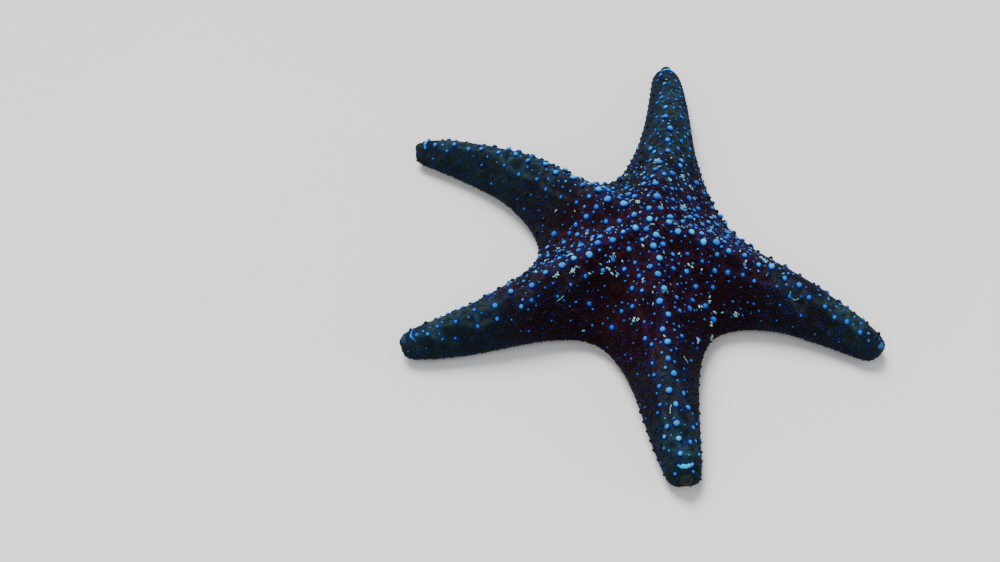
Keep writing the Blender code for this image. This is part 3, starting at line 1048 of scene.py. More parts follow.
    def scatter(self, count: int, radii: Pair, pallor: float, wanted: Rule) -> Places:
        """Knobs strewn at random: smaller, and painted dimmer as shade, on sparse sides.

        Args:
            count: How many places are tried.
            radii: The smallest and largest radius.
            pallor: The greatest paleness.
            wanted: The chance of a knob, from places and normals.

        Returns:
            The knobs.
        """
        points, normals = self.surface.sprinkle(count, self.rng, wanted)
        sparse_and_shaded = self.sparse_and_shaded(points)
        size = self.rng.random(len(points)) ** 1.4 * (1 - 0.35 * sparse_and_shaded)
        # painted shade: knobs on the sparse, shaded sides are painted less pale
        paleness = pallor * self.rng.random(len(points)) * (1 - 0.7 * sparse_and_shaded)
        return Places(points, normals, blend(radii, size), paleness)

    def tip_crests(self) -> Places:
        """Sets out a curved crest of joined knobs across the back of each arm's tip.

        Returns:
            The small knobs that make up the crests.
        """
        found = []
        steps = int(self.crest_reach / self.crest_step)
        for arm in self.plan.arms:
            if not arm.crest:
                continue
            for step in range(-steps, steps + 1):
                lateral = step * self.crest_step + self.wobble(0.16 * MM)
                bow = (lateral / self.crest_reach) ** 2
                radius = (0.96 - 0.40 * bow) * MM * (1 + self.wobble(0.14))
                run = arm.reach - self.crest_back - 1.3 * MM * bow + self.wobble(0.12 * MM)
                pallor = (0.9 - 0.35 * bow) * arm.crest
                found += self.on_arm(arm, run, lateral, radius * (0.6 + 0.4 * arm.crest), pallor)
        return Places.listed(found)

    def margin_row(self, level: float, pitch: float, widest: float) -> Places:
        """A row of blunt knobs along the outline.

        Args:
            level: The row's height, as a share of the arm's height.
            pitch: The step between two knobs.
            widest: The radius of the knobs nearest the disc.

        Returns:
            The knobs, evenly spaced round the animal.
        """
        found = []
        for index, arm in enumerate(self.plan.arms):
            for side in Side:
                gap = index if side is Side.LEFT else index - 1
                ahead = self.plan.gap_after(gap)[1] / 2
                depth = self.plan.notch_after(gap).length
                run = depth * cos(ahead)
                while run < arm.reach - self.margin_end:
                    share = arm.share_at(run)
                    thick = self.plan.height(share) if share else self.plan.root_height
                    notch = smooth_step(self.plan.base, depth * 0.8, run)
                    thick += (self.plan.notch_height * 1.6 - thick) * notch
                    middle = arm.at(run) + self.plan.centre
                    middle.z = level * thick + self.plan.lift(share)
                    sideways = (arm.at(run, side.value) - arm.at(run)).normalized()
                    hit = self.surface.met(middle, sideways)
                    if hit:
                        radius = widest * (1 - 0.3 * share) * (1 + self.wobble(0.08))
                        radius *= 1 - 0.4 * arm.sparse_and_shaded_on(side, run)
                        found.append((*hit, radius, 0.6 * self.rng.random()))
                    run += self.margin_step
        return Places.listed(found).clear_of(Places.none(), pitch)


# ---- skin
@dataclass
class Skin:
    """The one skin over the disc and the five arms, with its low relief."""

    plan: StarPlan
    smooth: Mesh
    base: Surface
    knobs: KnobPlan
    rng: Chance
    voxel: float = 0.95 * MM
    inset: float = 0.72 * MM
    sole_inset: float = 0.52 * MM
    mound: float = 0.42 * MM
    mound_spread: float = 1.45
    full_knob: float = 1.5 * MM
    halo_fade: float = 1.1 * MM
    strut: float = 0.34 * MM
    strut_width: float = 1.2 * MM
    strut_reach: float = 10.5 * MM
    strut_step: float = 0.6 * MM
    links: int = 5
    plate: float = 0.26 * MM
    plate_width: float = 1.25 * MM
    plate_pitch: float = 3.1 * MM
    plate_tries: int = 26000
    floor: float = 0.10 * MM
    name: str = "skin"

    def strut_points(self) -> Array:
        """The straight struts that join each large knob to its neighbours.

        Returns:
            Points along all of them, on the body's surface.
        """
        spots = self.knobs.large.points
        tree = tree_of(spots)
        lines = []
        for index, spot in enumerate(spots):
            for _, other, distance in tree.find_n(spot, self.links + 1):
                if other > index and distance < self.strut_reach:
                    steps = np.linspace(0, 1, max(3, int(distance / self.strut_step)))
                    lines.append(spot + steps[:, None] * (spots[other] - spot))
        return self.base.seat(np.concatenate(lines))[0]

    def plates(self) -> Array:
        """The middles of the paving plates on the underside."""
        spots, _ = self.base.sprinkle(self.plate_tries, self.rng, faces_down)
        room = np.full(len(spots), self.plate_pitch)
        return spots[thin_out(spots, room, np.empty((0, 3)), np.empty(0))]

    def relief(self, points: Array, normals: Array) -> Array:
        """Works out the skin's low relief, and keeps the tints that go with it.

        Args:
            points: Rows of x, y, z.
            normals: Which way the body faces at each.

        Returns:
            How far each point rises.
        """
        under = smooth_step(-0.15, -0.65, normals[:, 2])
        bright = Places.joined([self.knobs.large, self.knobs.crests])
        standing = Places.joined([bright, self.knobs.margins])
        which, gap = nearest(points, standing.points)
        radii = standing.radii[which]
        near = np.exp(-((gap / (self.mound_spread * radii)) ** 2))
        _, strut_gap = nearest(points, self.strut_points())
        strut = np.exp(-((strut_gap / self.strut_width) ** 2)) * (1 - under)
        _, plate_gap = nearest(points, self.plates())
        plate = np.exp(-((plate_gap / self.plate_width) ** 2)) * under
        mound = self.mound * near * np.clip(radii / self.full_knob, 0.4, 1.2)
        ridge = self.strut * strut
        rise = np.maximum(mound, ridge) + 0.45 * np.minimum(mound, ridge) + self.plate * plate
        halo = np.exp(-(((gap - radii) / self.halo_fade).clip(0) ** 2)) * (1 - under)
        halo *= which < len(bright.points)
        # painted shade: marks where the skin lies low between struts and knobs, for the finish to
        # darken
        hollow_shade_share = (1 - strut) * (1 - near) * (1 - under)
        below = smooth_step(-0.35, -0.80, normals[:, 2])
        self.tints = {"halo": halo, "under": below, "hollow_shade_share": hollow_shade_share}
        return rise - self.inset + (self.inset - self.sole_inset) * under

    def build(self) -> Surface:
        """Builds the skin, set in by the depth of its coat and raised by its relief.

        Returns:
            The skin's surface, for other pieces to stand on.
        """
        even = add_object(self.smooth, "even")
        remesh = even.modifiers.new("even", "REMESH")
        remesh.mode = "VOXEL"
        remesh.voxel_size = self.voxel
        remesh.use_smooth_shade = True
        mesh = evaluated(even)
        points, normals = read_mesh(mesh)
        points += normals * self.relief(points, normals)[:, None]
        points[:, 2] = points[:, 2].clip(self.floor)
        mesh.vertices.foreach_set("co", points.astype(np.float32).ravel())
        mesh.update()
        for name, values in self.tints.items():
            set_tint(mesh, name, values)
        mesh.name = self.name
        self.item = add_object(mesh, self.name)
        return Surface(mesh)

    def dress(self, material: Material) -> None:
        """Finishes the skin, which stands for the disc and the arms."""
        dress(self.item, material)
        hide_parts("disc", *(f"arm_{arm.name}" for arm in self.plan.arms))

    def lend_tints(self, mesh: Mesh, roots: Array, corners: int) -> None:
        """Gives small solids the skin's tints at their roots.

        Args:
            mesh: The solids, joined.
            roots: Where each stands.
            corners: How many points each has.
        """
        which, _ = nearest(roots, read_mesh(self.item.data)[0])
        for name, values in self.tints.items():
            set_tint(mesh, name, np.repeat(values[which], corners))


def faces_down(_: Array, normals: Array) -> Array:
    """The chance of a thing that stands only on the underside."""
    return (normals[:, 2] < -0.5).astype(float)


# ---- shader helpers
class Value:
    """A shader's number that Python's operators work on, by adding Math nodes."""

    def __init__(self, graph: "Graph", socket: NodeSocket) -> None:
        """Wraps an output socket."""
        self.graph = graph
        self.socket = socket

    def join(self, operation: str, first: "Value | float", second: "Value | float") -> "Value":
        """The result of a Math node on two numbers."""
        node = self.graph.node("Math", {"operation": operation}, {0: first, 1: second})
        return Value(self.graph, node.outputs[0])

    def __add__(self, other: "Value | float") -> "Value":
        """self + other."""
        return self.join("ADD", self, other)

    def __sub__(self, other: "Value | float") -> "Value":
        """self - other."""
        return self.join("SUBTRACT", self, other)

    def __mul__(self, other: "Value | float") -> "Value":
        """self * other."""
        return self.join("MULTIPLY", self, other)

    def __rsub__(self, other: float) -> "Value":
        """other - self."""
        return self.join("SUBTRACT", other, self)

    __radd__ = __add__
    __rmul__ = __mul__

    def rise(self, start: float, end: float) -> "Value":
        """A soft rise from 0 at start to 1 at end."""
        settings = {"interpolation_type": "SMOOTHSTEP"}
        node = self.graph.node("MapRange", settings, {0: self, 1: start, 2: end})
        return Value(self.graph, node.outputs[0])


Link = Value | NodeSocket
Input = Link | float | Sequence[float]


class Graph:
    """The nodes of one material, built from Python expressions."""

    def __init__(self, name: str) -> None:
        """Starts a material with a Principled shader."""
        self.material = bpy.data.materials.new(name)
        self.material.use_nodes = True
        self.tree = self.material.node_tree
        self.shader = self.tree.nodes["Principled BSDF"]

    def node(self, kind: str, settings: dict | None = None, inputs: dict | None = None) -> Node:
        """Adds a node.

        Args:
            kind: The node's type, without its ShaderNode prefix.
            settings: Its settings, set before its sockets.
            inputs: Values or links, by socket name or number.

        Returns:
            The node.
        """
        node = self.tree.nodes.new("ShaderNode" + kind)
        for name, value in (settings or {}).items():
            setattr(node, name, value)
        for key, value in (inputs or {}).items():
            self.feed(node.inputs[key], value)
        return node

    def feed(self, socket: NodeSocket, value: Input) -> None:
        """Links or sets one input socket.

        Args:
            socket: The socket.
            value: A link, a number or a colour.
        """
        if isinstance(value, Value):
            value = value.socket
        if isinstance(value, NodeSocket):
            self.tree.links.new(value, socket)
        elif isinstance(value, tuple) and socket.type == "RGBA":
            socket.default_value = (*value, 1.0)
        else:
            socket.default_value = value

    def place(self) -> NodeSocket:
        """The point's place in the row's frame."""
        return self.node("TexCoord").outputs["Object"]

    def tint(self, name: str) -> Value:
        """A number stored on the mesh."""
        node = self.node("Attribute", {"attribute_name": name})
        return Value(self, node.outputs["Fac"])

    def noise(self, size: float, detail: float = 2.0, roughness: float = 0.5) -> Value:
        """Cloudy noise whose blotches are about this size."""
        inputs = {"Vector": self.place(), "Scale": 1 / size, "Detail": detail}
        node = self.node("TexNoise", {}, {**inputs, "Roughness": roughness})
        return Value(self, node.outputs["Fac"])

    def ragged(self, value: Value, size: float, depth: float, detail: float = 2.0) -> Value:
        """A number pushed up and down by noise, by this depth in all."""
        return value + (self.noise(size, detail) - 0.5) * depth

    def cells(self, size: float) -> Value:
        """Distance from the middles of random cells about this size, as a share of it."""
        node = self.node("TexVoronoi", {}, {"Vector": self.place(), "Scale": 1 / size})
        return Value(self, node.outputs["Distance"])

    def mix(self, share: Input, first: Input, second: Input) -> NodeSocket:
        """A colour between two colours."""
        inputs = {"Factor": share, 6: first, 7: second}
        return self.node("Mix", {"data_type": "RGBA"}, inputs).outputs[2]

    def shade(self, colour: Input, share: Input) -> NodeSocket:
        """A colour scaled by a number."""
        node = self.node("VectorMath", {"operation": "SCALE"}, {0: colour, "Scale": share})
        return node.outputs[0]

    def bump(self, height: Value, depth: float) -> None:
        """Feeds the shader's normal from a height of 0 to 1 and its depth in metres."""
        inputs = {"Height": height, "Distance": depth, "Strength": 1.0}
        self.feed(self.shader.inputs["Normal"], self.node("Bump", {}, inputs).outputs[0])

    def set(self, **inputs: Input) -> Material:
        """Feeds the shader's sockets, with _ for a space, and gives the material."""
        for name, value in inputs.items():
            self.feed(self.shader.inputs[name.replace("_", " ")], value)
        return self.material


# ---- finishes
@dataclass(frozen=True)
class BodyTones:
    """The body's colours, which the skin and its coat share.

    Forward is how far in front of the disc's centre the maroon is strongest, and fade
    is where, from there, it gives way to slate.
    """

    centre: Vector
    maroon: Colour = (0.0215, 0.0038, 0.0058)
    slate: Colour = (0.0150, 0.0400, 0.0410)
    indigo: Colour = (0.0030, 0.0060, 0.0800)
    # the colour of the painted shade in the hollows between the struts
    hollow_shade_colour: Colour = (0.0030, 0.0010, 0.0025)
    belly: Colour = (0.150, 0.062, 0.040)
    forward: float = 0.018
    fade: Pair = (0.040, 0.096)

    def colour(self, graph: Graph) -> NodeSocket:
        """The body's colour at each point.

        Args:
            graph: The material's nodes.

        Returns:
            A colour socket: maroon on the disc, slate down the arms, indigo beside the
            knobs, painted shade in the hollows between the struts, and pale below.
        """
        heart = (self.centre.x, self.centre.y - self.forward, self.centre.z)
        offset = graph.node("VectorMath", {"operation": "DISTANCE"}, {0: graph.place(), 1: heart})
        far = graph.ragged(Value(graph, offset.outputs["Value"]), 0.022, 0.06, 3)
        base = graph.mix(far.rise(*self.fade), self.maroon, self.slate)
        blotch = graph.noise(0.006, 3, 0.6).rise(0.35, 0.75)
        base = graph.shade(base, 0.70 + blotch * 0.70)
        # painted shade: the hollows between the struts are darkened toward a near-black
        base = graph.mix(graph.tint("hollow_shade_share") * 0.70, base, self.hollow_shade_colour)
        glow = graph.tint("halo") * graph.noise(0.0035, 2).rise(0.38, 0.62)
        base = graph.mix(glow * 0.85, base, self.indigo)
        belly = graph.mix(graph.noise(0.004, 3).rise(0.3, 0.7), self.belly, self.maroon)
        return graph.mix(graph.tint("under"), base, belly)


@dataclass(frozen=True)
class SkinFinish:
    """Matt, leathery skin with a fine grain."""

    tones: BodyTones

    def material(self) -> Material:
        """Builds the material."""
        graph = Graph("star_skin")
        grain = graph.cells(0.00075).rise(0.75, 0.10)
        graph.bump(grain + graph.noise(0.0016, 3) * 0.8, 0.00018)
        rough = 0.55 + graph.noise(0.003, 2) * 0.25
        return graph.set(
            Base_Color=self.tones.colour(graph), Roughness=rough, Specular_IOR_Level=0.04
        )


@dataclass(frozen=True)
class GrainFinish:
    """The granules: the skin's own colours, with a painted shade at each foot and a painted
    highlight on each crown.
    """

    tones: BodyTones
    # how much lighter each grain's crown is painted, as a painted highlight
    lift: float = 1.3
    speck: Colour = (0.003, 0.022, 0.420)
    blue_share: float = 0.70

    def material(self) -> Material:
        """Builds the material."""
        graph = Graph("star_grains")
        each, crown = graph.tint("pallor"), graph.tint("crown")
        # painted shade and highlight: each grain is 0.75 as bright at its foot and lighter up its
        # crown
        base = graph.shade(self.tones.colour(graph), 0.75 + crown * each * self.lift)
        patches = graph.noise(0.0045, 2).rise(0.30, 0.60)
        blue = each.rise(1 - self.blue_share, 1.0) * patches * (1 - graph.tint("under"))
        base = graph.mix(crown * blue * 0.8, base, self.speck)
        return graph.set(
            Base_Color=base, Roughness=0.62 - crown * 0.14, Specular_IOR_Level=0.06
        )


@dataclass(frozen=True)
class KnobFinish:
    """The knobs: dark foot, deep blue flank, and a crown from azure to pale blue; the pale top is
    partly a painted highlight.
    """

    name: str = "star_knobs"
    foot: Colour = (0.006, 0.004, 0.020)
    flank: Colour = (0.001, 0.072, 0.460)
    azure: Colour = (0.0005, 0.250, 0.780)
    pale: Colour = (0.028, 0.460, 0.690)
    reach: float = 1.0
    shine: float = 0.14

    def material(self) -> Material:
        """Builds the material."""
        graph = Graph(self.name)
        each = graph.tint("pallor")
        level = graph.ragged(graph.tint("crown"), 0.0009, 0.24)
        base = graph.mix(level.rise(0.10, 0.45), self.foot, self.flank)
        # partly painted highlight: how pale each knob may be is its own colour, but the pale is
        # kept to its top, where light from above falls
        pale_top_with_highlight = each.rise(0.35, 1.0) * level.rise(0.55, 0.95)
        crown = graph.mix(pale_top_with_highlight, self.azure, self.pale)
        top = level.rise(0.40, 0.82) * (0.12 + each * 0.88)
        base = graph.mix(top * self.reach, base, crown)
        graph.bump(graph.cells(0.0007).rise(0.7, 0.1), 0.00008)
        return graph.set(
            Base_Color=base, Roughness=0.45 + graph.noise(0.001, 2) * 0.2,
            Subsurface_Weight=0.10, Subsurface_Scale=0.0008, Specular_IOR_Level=self.shine,
        )


@dataclass(frozen=True)
class FleckFinish:
    """Chalky valves, from pale blue to cream."""

    foot: Colour = (0.020, 0.050, 0.080)
    blue: Colour = (0.050, 0.280, 0.420)
    cream: Colour = (0.300, 0.540, 0.480)

    def material(self) -> Material:
        """Builds the material."""
        graph = Graph("star_flecks")
        pale = graph.mix(graph.tint("pallor").rise(0.25, 0.80), self.blue, self.cream)
        level = graph.ragged(graph.tint("crown"), 0.0006, 0.3)
        graph.bump(graph.noise(0.0003, 2), 0.00005)
        return graph.set(
            Base_Color=graph.mix(level.rise(0.05, 0.55), self.foot, pale),
            Roughness=0.55 + graph.noise(0.001, 2) * 0.2, Specular_IOR_Level=0.25,
        )


@dataclass(frozen=True)
class PlainFinish:
    """Chalky or fleshy stuff: two tones in fine mottling, with a fine grain."""

    name: str
    first: Colour
    second: Colour
    mottle: float = 0.0015
    grain: float = 0.0004
    depth: float = 0.00006
    roughness: float = 0.5
    softness: float = 0.0

    def material(self) -> Material:
        """Builds the material."""
        graph = Graph(self.name)
        share = graph.noise(self.mottle, 3, 0.6).rise(0.32, 0.68)
        graph.bump(graph.noise(self.grain, 2), self.depth)
        return graph.set(
            Base_Color=graph.mix(share, self.first, self.second),
            Roughness=self.roughness + graph.noise(self.mottle, 2) * 0.15,
            Subsurface_Weight=self.softness, Subsurface_Scale=0.0015,
            Specular_IOR_Level=0.35,
        )


@dataclass(frozen=True)
class RidgedFinish:
    """Two tones by a stored tint: a dark one, painted shade, in the furrows, and a lighter one on
    the ridges.
    """

    name: str
    tint: str
    low: Colour
    high: Colour

    def material(self) -> Material:
        """Builds the material."""
        graph = Graph(self.name)
        level = graph.ragged(graph.tint(self.tint), 0.0012, 0.35, 3)
        graph.bump(graph.noise(0.0004, 2), 0.00006)
        return graph.set(
            Base_Color=graph.mix(level.rise(0.15, 0.85), self.low, self.high),
            Roughness=0.5 + graph.noise(0.002, 2) * 0.2, Specular_IOR_Level=0.05,
        )


@dataclass(frozen=True)
class TipFinish:
    """Dark slate with a pale blue crown."""

    slate: Colour = (0.0048, 0.0092, 0.0110)
    blue: Colour = (0.0040, 0.0300, 0.1000)
    pale: Colour = (0.0080, 0.0900, 0.2400)

    def material(self) -> Material:
        """Builds the material."""
        graph = Graph("star_tips")
        level = graph.ragged(graph.tint("pale"), 0.0013, 0.5, 3)
        base = graph.mix(level.rise(0.10, 0.50), self.slate, self.blue)
        base = graph.mix(level.rise(0.45, 0.90), base, self.pale)
        graph.bump(graph.cells(0.0008).rise(0.75, 0.10), 0.00016)
        return graph.set(
            Base_Color=base, Roughness=0.5 + graph.noise(0.001, 2) * 0.2,
            Specular_IOR_Level=0.12,
        )


# ---- knobs and granules
@dataclass
class Knobs:
    """The knobs of the back and the margin, as joined meshes."""

    places: KnobPlan
    surface: Surface
    rng: Chance
    large: Pattern = Pattern.turned(
        [(1.10, -0.35), (1.05, 0.10), (0.98, 0.42), (0.86, 0.72), (0.62, 0.95), (0.32, 1.06),
         (0, 1.10)], 14,
    )
    small: Pattern = Pattern.turned([(1.05, -0.35), (0.98, 0.25), (0.72, 0.68), (0, 0.92)], 9)
    finish: KnobFinish = KnobFinish()
    edge_finish: KnobFinish = KnobFinish(
        name="star_margin_knobs", foot=(0.004, 0.003, 0.005), flank=(0.0045, 0.0055, 0.009),
        azure=(0.004, 0.010, 0.022), pale=(0.006, 0.018, 0.034), reach=0.7, shine=0.08,
    )

    def build(self) -> None:
        """Builds and dresses each kind."""
        finish = self.finish.material()
        kinds = (
            ("knobs", self.large, self.places.large, 0.07, finish),
            ("small_knobs", self.small, self.places.small, 0.10, finish),
            ("margin_knobs", self.large, self.places.margins, 0.09, self.edge_finish.material()),
            ("tip_crests", self.large, self.places.crests, 0.10, finish),
        )
        for name, pattern, places, lumps, material in kinds:
            seated = places.seated(self.surface)
            Crowd(name, pattern, seated, lumps=lumps).show(self.rng, material)


@dataclass
class Flecks:
    """Small pale valves between the knobs: in clumps, alone, and in curved strands."""

    surface: Surface
    knobs: KnobPlan
    rng: Chance
    reach: Pair = (30 * MM, 80 * MM)
    strands: int = 10
    strand_start: float = 2.0 * MM
    strand_step: float = 0.62 * MM
    strand_length: Pair = (3.5 * MM, 8.0 * MM)
    strand_radius: float = 0.42 * MM
    clumps: int = 46
    clump_reach: float = 0.85 * MM
    clump_count: tuple[int, int] = (3, 10)
    singles: int = 130
    tries_each: int = 12
    radii: Pair = (0.34 * MM, 0.95 * MM)
    valve: Pattern = Pattern.turned(
        [(1.0, -0.5), (0.96, 0.22), (0.74, 0.52), (0.36, 0.68), (0, 0.72)], 10
    ).squeezed(0.48)

    def wanted(self, points: Array, normals: Array) -> Array:
        """The chance of a fleck: most on the disc and few where the animal is calm."""
        near = 1 - smooth_step(*self.reach, self.knobs.from_centre(points))
        return near * (normals[:, 2] > 0.25) * (1 - 0.85 * self.knobs.sparse_and_shaded(points))

    def strand(self) -> Arrays:
        """A curved strand of valves that starts beside a large knob.

        Returns:
            The places and the directions in which the valves lie.
        """
        large = self.knobs.large.points
        place = large[self.rng.integers(len(large))]
        place = place + self.rng.normal(0, self.strand_start, 3)
        heading = self.rng.random() * 2 * pi
        turn = self.rng.normal(0, 0.10)
        places, aims = [], []
        for _ in range(int(self.rng.uniform(*self.strand_length) / self.strand_step)):
            aim = np.array(ahead_of(heading))
            places.append(place)
            aims.append(aim)
            place = place + aim * self.strand_step
            heading += turn + self.rng.normal(0, 0.08)
        return np.array(places), np.array(aims)

    def build(self) -> None:
        """Builds and dresses all the flecks as one joined mesh."""
        strands = [self.strand() for _ in range(self.strands)]
        lone, hearts = (
            self.surface.sprinkle(self.tries_each * count, self.rng, self.wanted)[0][:count]
            for count in (self.singles, self.clumps)
        )
        clumps = [
            heart
            + self.rng.normal(0, self.clump_reach, (self.rng.integers(*self.clump_count), 3))
            for heart in hearts
        ]
        loose = np.concatenate([lone, *clumps])
        spots = np.concatenate([places for places, _ in strands] + [loose])
        aims = np.concatenate([aims for _, aims in strands] + [self.rng.normal(0, 1, loose.shape)])
        count = len(spots) - len(loose)
        sizes = self.rng.uniform(*self.radii, len(spots))
        sizes[:count] = self.strand_radius * self.rng.uniform(0.8, 1.2, count)
        points, normals = self.surface.seat(spots)
        places = Places(points, normals, sizes, self.rng.random(len(spots)) ** 0.7)
        gaps = np.linalg.norm(points[:, None] - self.knobs.large.points[None], axis=2)
        clear = np.all(gaps > self.knobs.large.radii[None] * 0.95, axis=1)
        kept = np.flatnonzero(clear & (normals[:, 2] > 0.05))
        Crowd(
            "flecks", self.valve, places.chosen(kept), lumps=0.12, lean=0.2, along=aims[kept]
        ).show(self.rng, FleckFinish().material())


@dataclass
class Granules:
    """The fine grains that coat the skin, with a ring of them round each large knob."""

    plan: StarPlan
    skin: Skin
    surface: Surface
    knobs: KnobPlan
    kept_clear: Places
    rng: Chance
    spacing: float = 0.86 * MM
    radii: Pair = (0.26 * MM, 0.44 * MM)
    ring_pitch: float = 0.80 * MM
    ring_gap: float = 0.22 * MM
    back_tries: int = 170000
    sole_tries: int = 70000
    blue_reach: Pair = (36 * MM, 68 * MM)
    sole_spacing: float = 1.25 * MM
    sole_radii: Pair = (0.36 * MM, 0.58 * MM)
    piece_faces: int = 185000
    shape: Pattern = Pattern.turned([(1.0, -0.45), (0.82, 0.42), (0, 0.82)], 5)

    def rings(self) -> Array:
        """Sets out grains round the feet of the large knobs.

        Returns:
            Rows of x, y, z.
        """
        spots = []
        large = self.knobs.large
        for point, normal, radius in zip(large.points, large.normals, large.radii):
            reach = radius * 1.12 + self.ring_gap
            count = int(2 * pi * reach / self.ring_pitch)
            across = unit(np.cross(normal, (0.3, 0.9, 0.1)))
            over = np.cross(normal, across)
            turns = (np.arange(count) + self.rng.random()) * 2 * pi / count
            spots.append(
                point + reach * (np.cos(turns)[:, None] * across + np.sin(turns)[:, None] * over)
            )
        return np.concatenate(spots)

    def build(self) -> None:
        """Builds the coat of the back and that of the underside."""
        material = GrainFinish(BodyTones(self.plan.centre)).material()
        standing = Places.joined(
            [self.knobs.large, self.knobs.small, self.knobs.margins, self.knobs.crests,
             self.kept_clear]
        )
        rings, ring_normals = self.surface.seat(self.rings())
        spots, normals = self.surface.sprinkle(self.back_tries, self.rng, self.on_back)
        spots, normals = np.concatenate([rings, spots]), np.concatenate([ring_normals, normals])
        back = self.pick(spots, normals, self.spacing, self.radii, standing)
        self.add_coat("granules", back, material)
        spots, normals = self.surface.sprinkle(self.sole_tries, self.rng, faces_down)
        sole = self.pick(spots, normals, self.sole_spacing, self.sole_radii, standing)
        self.add_coat("sole_granules", sole, material)

    @staticmethod
    def on_back(_: Array, normals: Array) -> Array:
        """The chance of a granule on the back."""
        return (normals[:, 2] > -0.4).astype(float)

    def pick(
        self, spots: Array, normals: Array, spacing: float, radii: Pair, standing: Places
    ) -> Places:
        """The granules that find room.

        Args:
            spots: Places in the order they are tried.
            normals: Which way the skin faces at each.
            spacing: The room between two granules.
            radii: The smallest and largest radius.
            standing: The pieces that already stand on the skin.

        Returns:
            The granules.
        """
        room = np.full(len(spots), spacing)
        kept = thin_out(spots, room, standing.points, standing.radii * 1.02)
        sizes = self.rng.uniform(*radii, len(kept))
        # painted shade: grains on the sparse, shaded sides of the disc get less blue and a weaker
        # painted crown highlight
        pallor = self.rng.random(len(kept)) * self.blueness(spots[kept])
        return Places(spots[kept], normals[kept], sizes, pallor)

    def blueness(self, points: Array) -> Array:
        """How blue and light-crowned a granule may be: less on sparse sides of the disc, as
        painted shade.
        """
        near = 1 - smooth_step(*self.blue_reach, self.knobs.from_centre(points))
        return 1 - 0.5 * near * self.knobs.sparse_and_shaded(points)

    def add_coat(self, name: str, places: Places, material: Material) -> None:
        """Builds one coat, in as many pieces as keep each within its limit.

        Args:
            name: What the pieces' names start with.
            places: Where the granules stand.
            material: Their finish.
        """
        count = len(places.points)
        pieces = int(np.ceil(count * len(self.shape.faces) / self.piece_faces))
        for piece in range(pieces):
            chosen = places.chosen(np.arange(piece, count, pieces))
            item = Coat(f"{name}_{piece + 1}", self.shape, chosen, plan=self.plan).build(self.rng)
            self.skin.lend_tints(item.data, chosen.points, len(self.shape.points))
            dress(item, material)


# ---- underside
@dataclass
class GrooveLining:
    """The spines beside each arm's groove, and the tube feet in it."""

    plan: StarPlan
    surface: Surface
    rng: Chance
    start: float = 9.5 * MM
    end: float = 4.5 * MM
    spine: Pattern = Pattern.turned(
        [(1.0, -1.2), (0.95, 1.6), (0.85, 3.6), (0.62, 5.2), (0.30, 6.1), (0, 6.4)], 7
    )
    foot: Pattern = Pattern.turned(
        [(0.70, -0.6), (0.62, 0.5), (0.55, 1.3), (0.62, 1.75), (1.0, 2.0), (1.02, 2.15),
         (0.80, 2.22), (0, 2.10)], 10,
    )
    spine_rows: tuple[Triple, ...] = (
        (0.155, 1.15 * MM, 0.34 * MM), (0.225, 1.35 * MM, 0.40 * MM),
    )
    foot_rows: tuple[float, ...] = (0.038, 0.095)
    foot_pitch: float = 1.9 * MM
    foot_radius: float = 0.72 * MM

    def row(
        self, level: float, pitch: float, radius: float, tuck: float, shift: float = 0.0
    ) -> Places:
        """One row on both sides of every groove.

        Args:
            level: Its distance from the arm's line, as a share of the arm's half width.
            pitch: The step along the arm.
            radius: The size of each thing.
            tuck: How strongly it leans over the groove.
            shift: Where along a step the row starts.

        Returns:
            The places, whose normals are the directions that the things point in.
        """
        found = []
        for arm in self.plan.arms:
            run = self.start + shift * pitch
            while run < arm.reach - self.end:
                share = arm.share_at(run)
                for side in Side:
                    lateral = level * self.plan.half_width(arm, share) * side.value
                    spot = arm.at(run, lateral)
                    hit = self.surface.above(spot + self.plan.centre)
                    if hit:
                        inward = (arm.at(run) - spot).normalized()
                        lean = hit[1] * 0.4 + inward * tuck + Vector((0, 0, -1))
                        found.append((hit[0], lean, radius * (1 - 0.35 * share)))
                run += pitch * (1 - 0.25 * share)
        points, normals, radii = (np.array(part) for part in zip(*found))
        return Places(points, unit(normals), radii, self.rng.random(len(points)))

    def build(self) -> None:
        """Builds and dresses the spines and the tube feet."""
        spines = Places.joined(
            [self.row(level, pitch, radius, 0.85) for level, pitch, radius in self.spine_rows]
        )
        finish = PlainFinish("groove_spine", (0.30, 0.17, 0.12), (0.16, 0.07, 0.055))
        Crowd("groove_spines", self.spine, spines, lumps=0.04, lean=0.14).show(
            self.rng, finish.material()
        )
        feet = Places.joined(
            [self.row(level, self.foot_pitch, self.foot_radius, 0.1, shift / 2)
             for shift, level in enumerate(self.foot_rows)]
        )
        finish = PlainFinish("tube_foot", (0.50, 0.30, 0.20), (0.34, 0.16, 0.10), softness=0.3)
        Crowd("tube_feet", self.foot, feet, lumps=0.05, lean=0.16).show(
            self.rng, finish.material()
        )


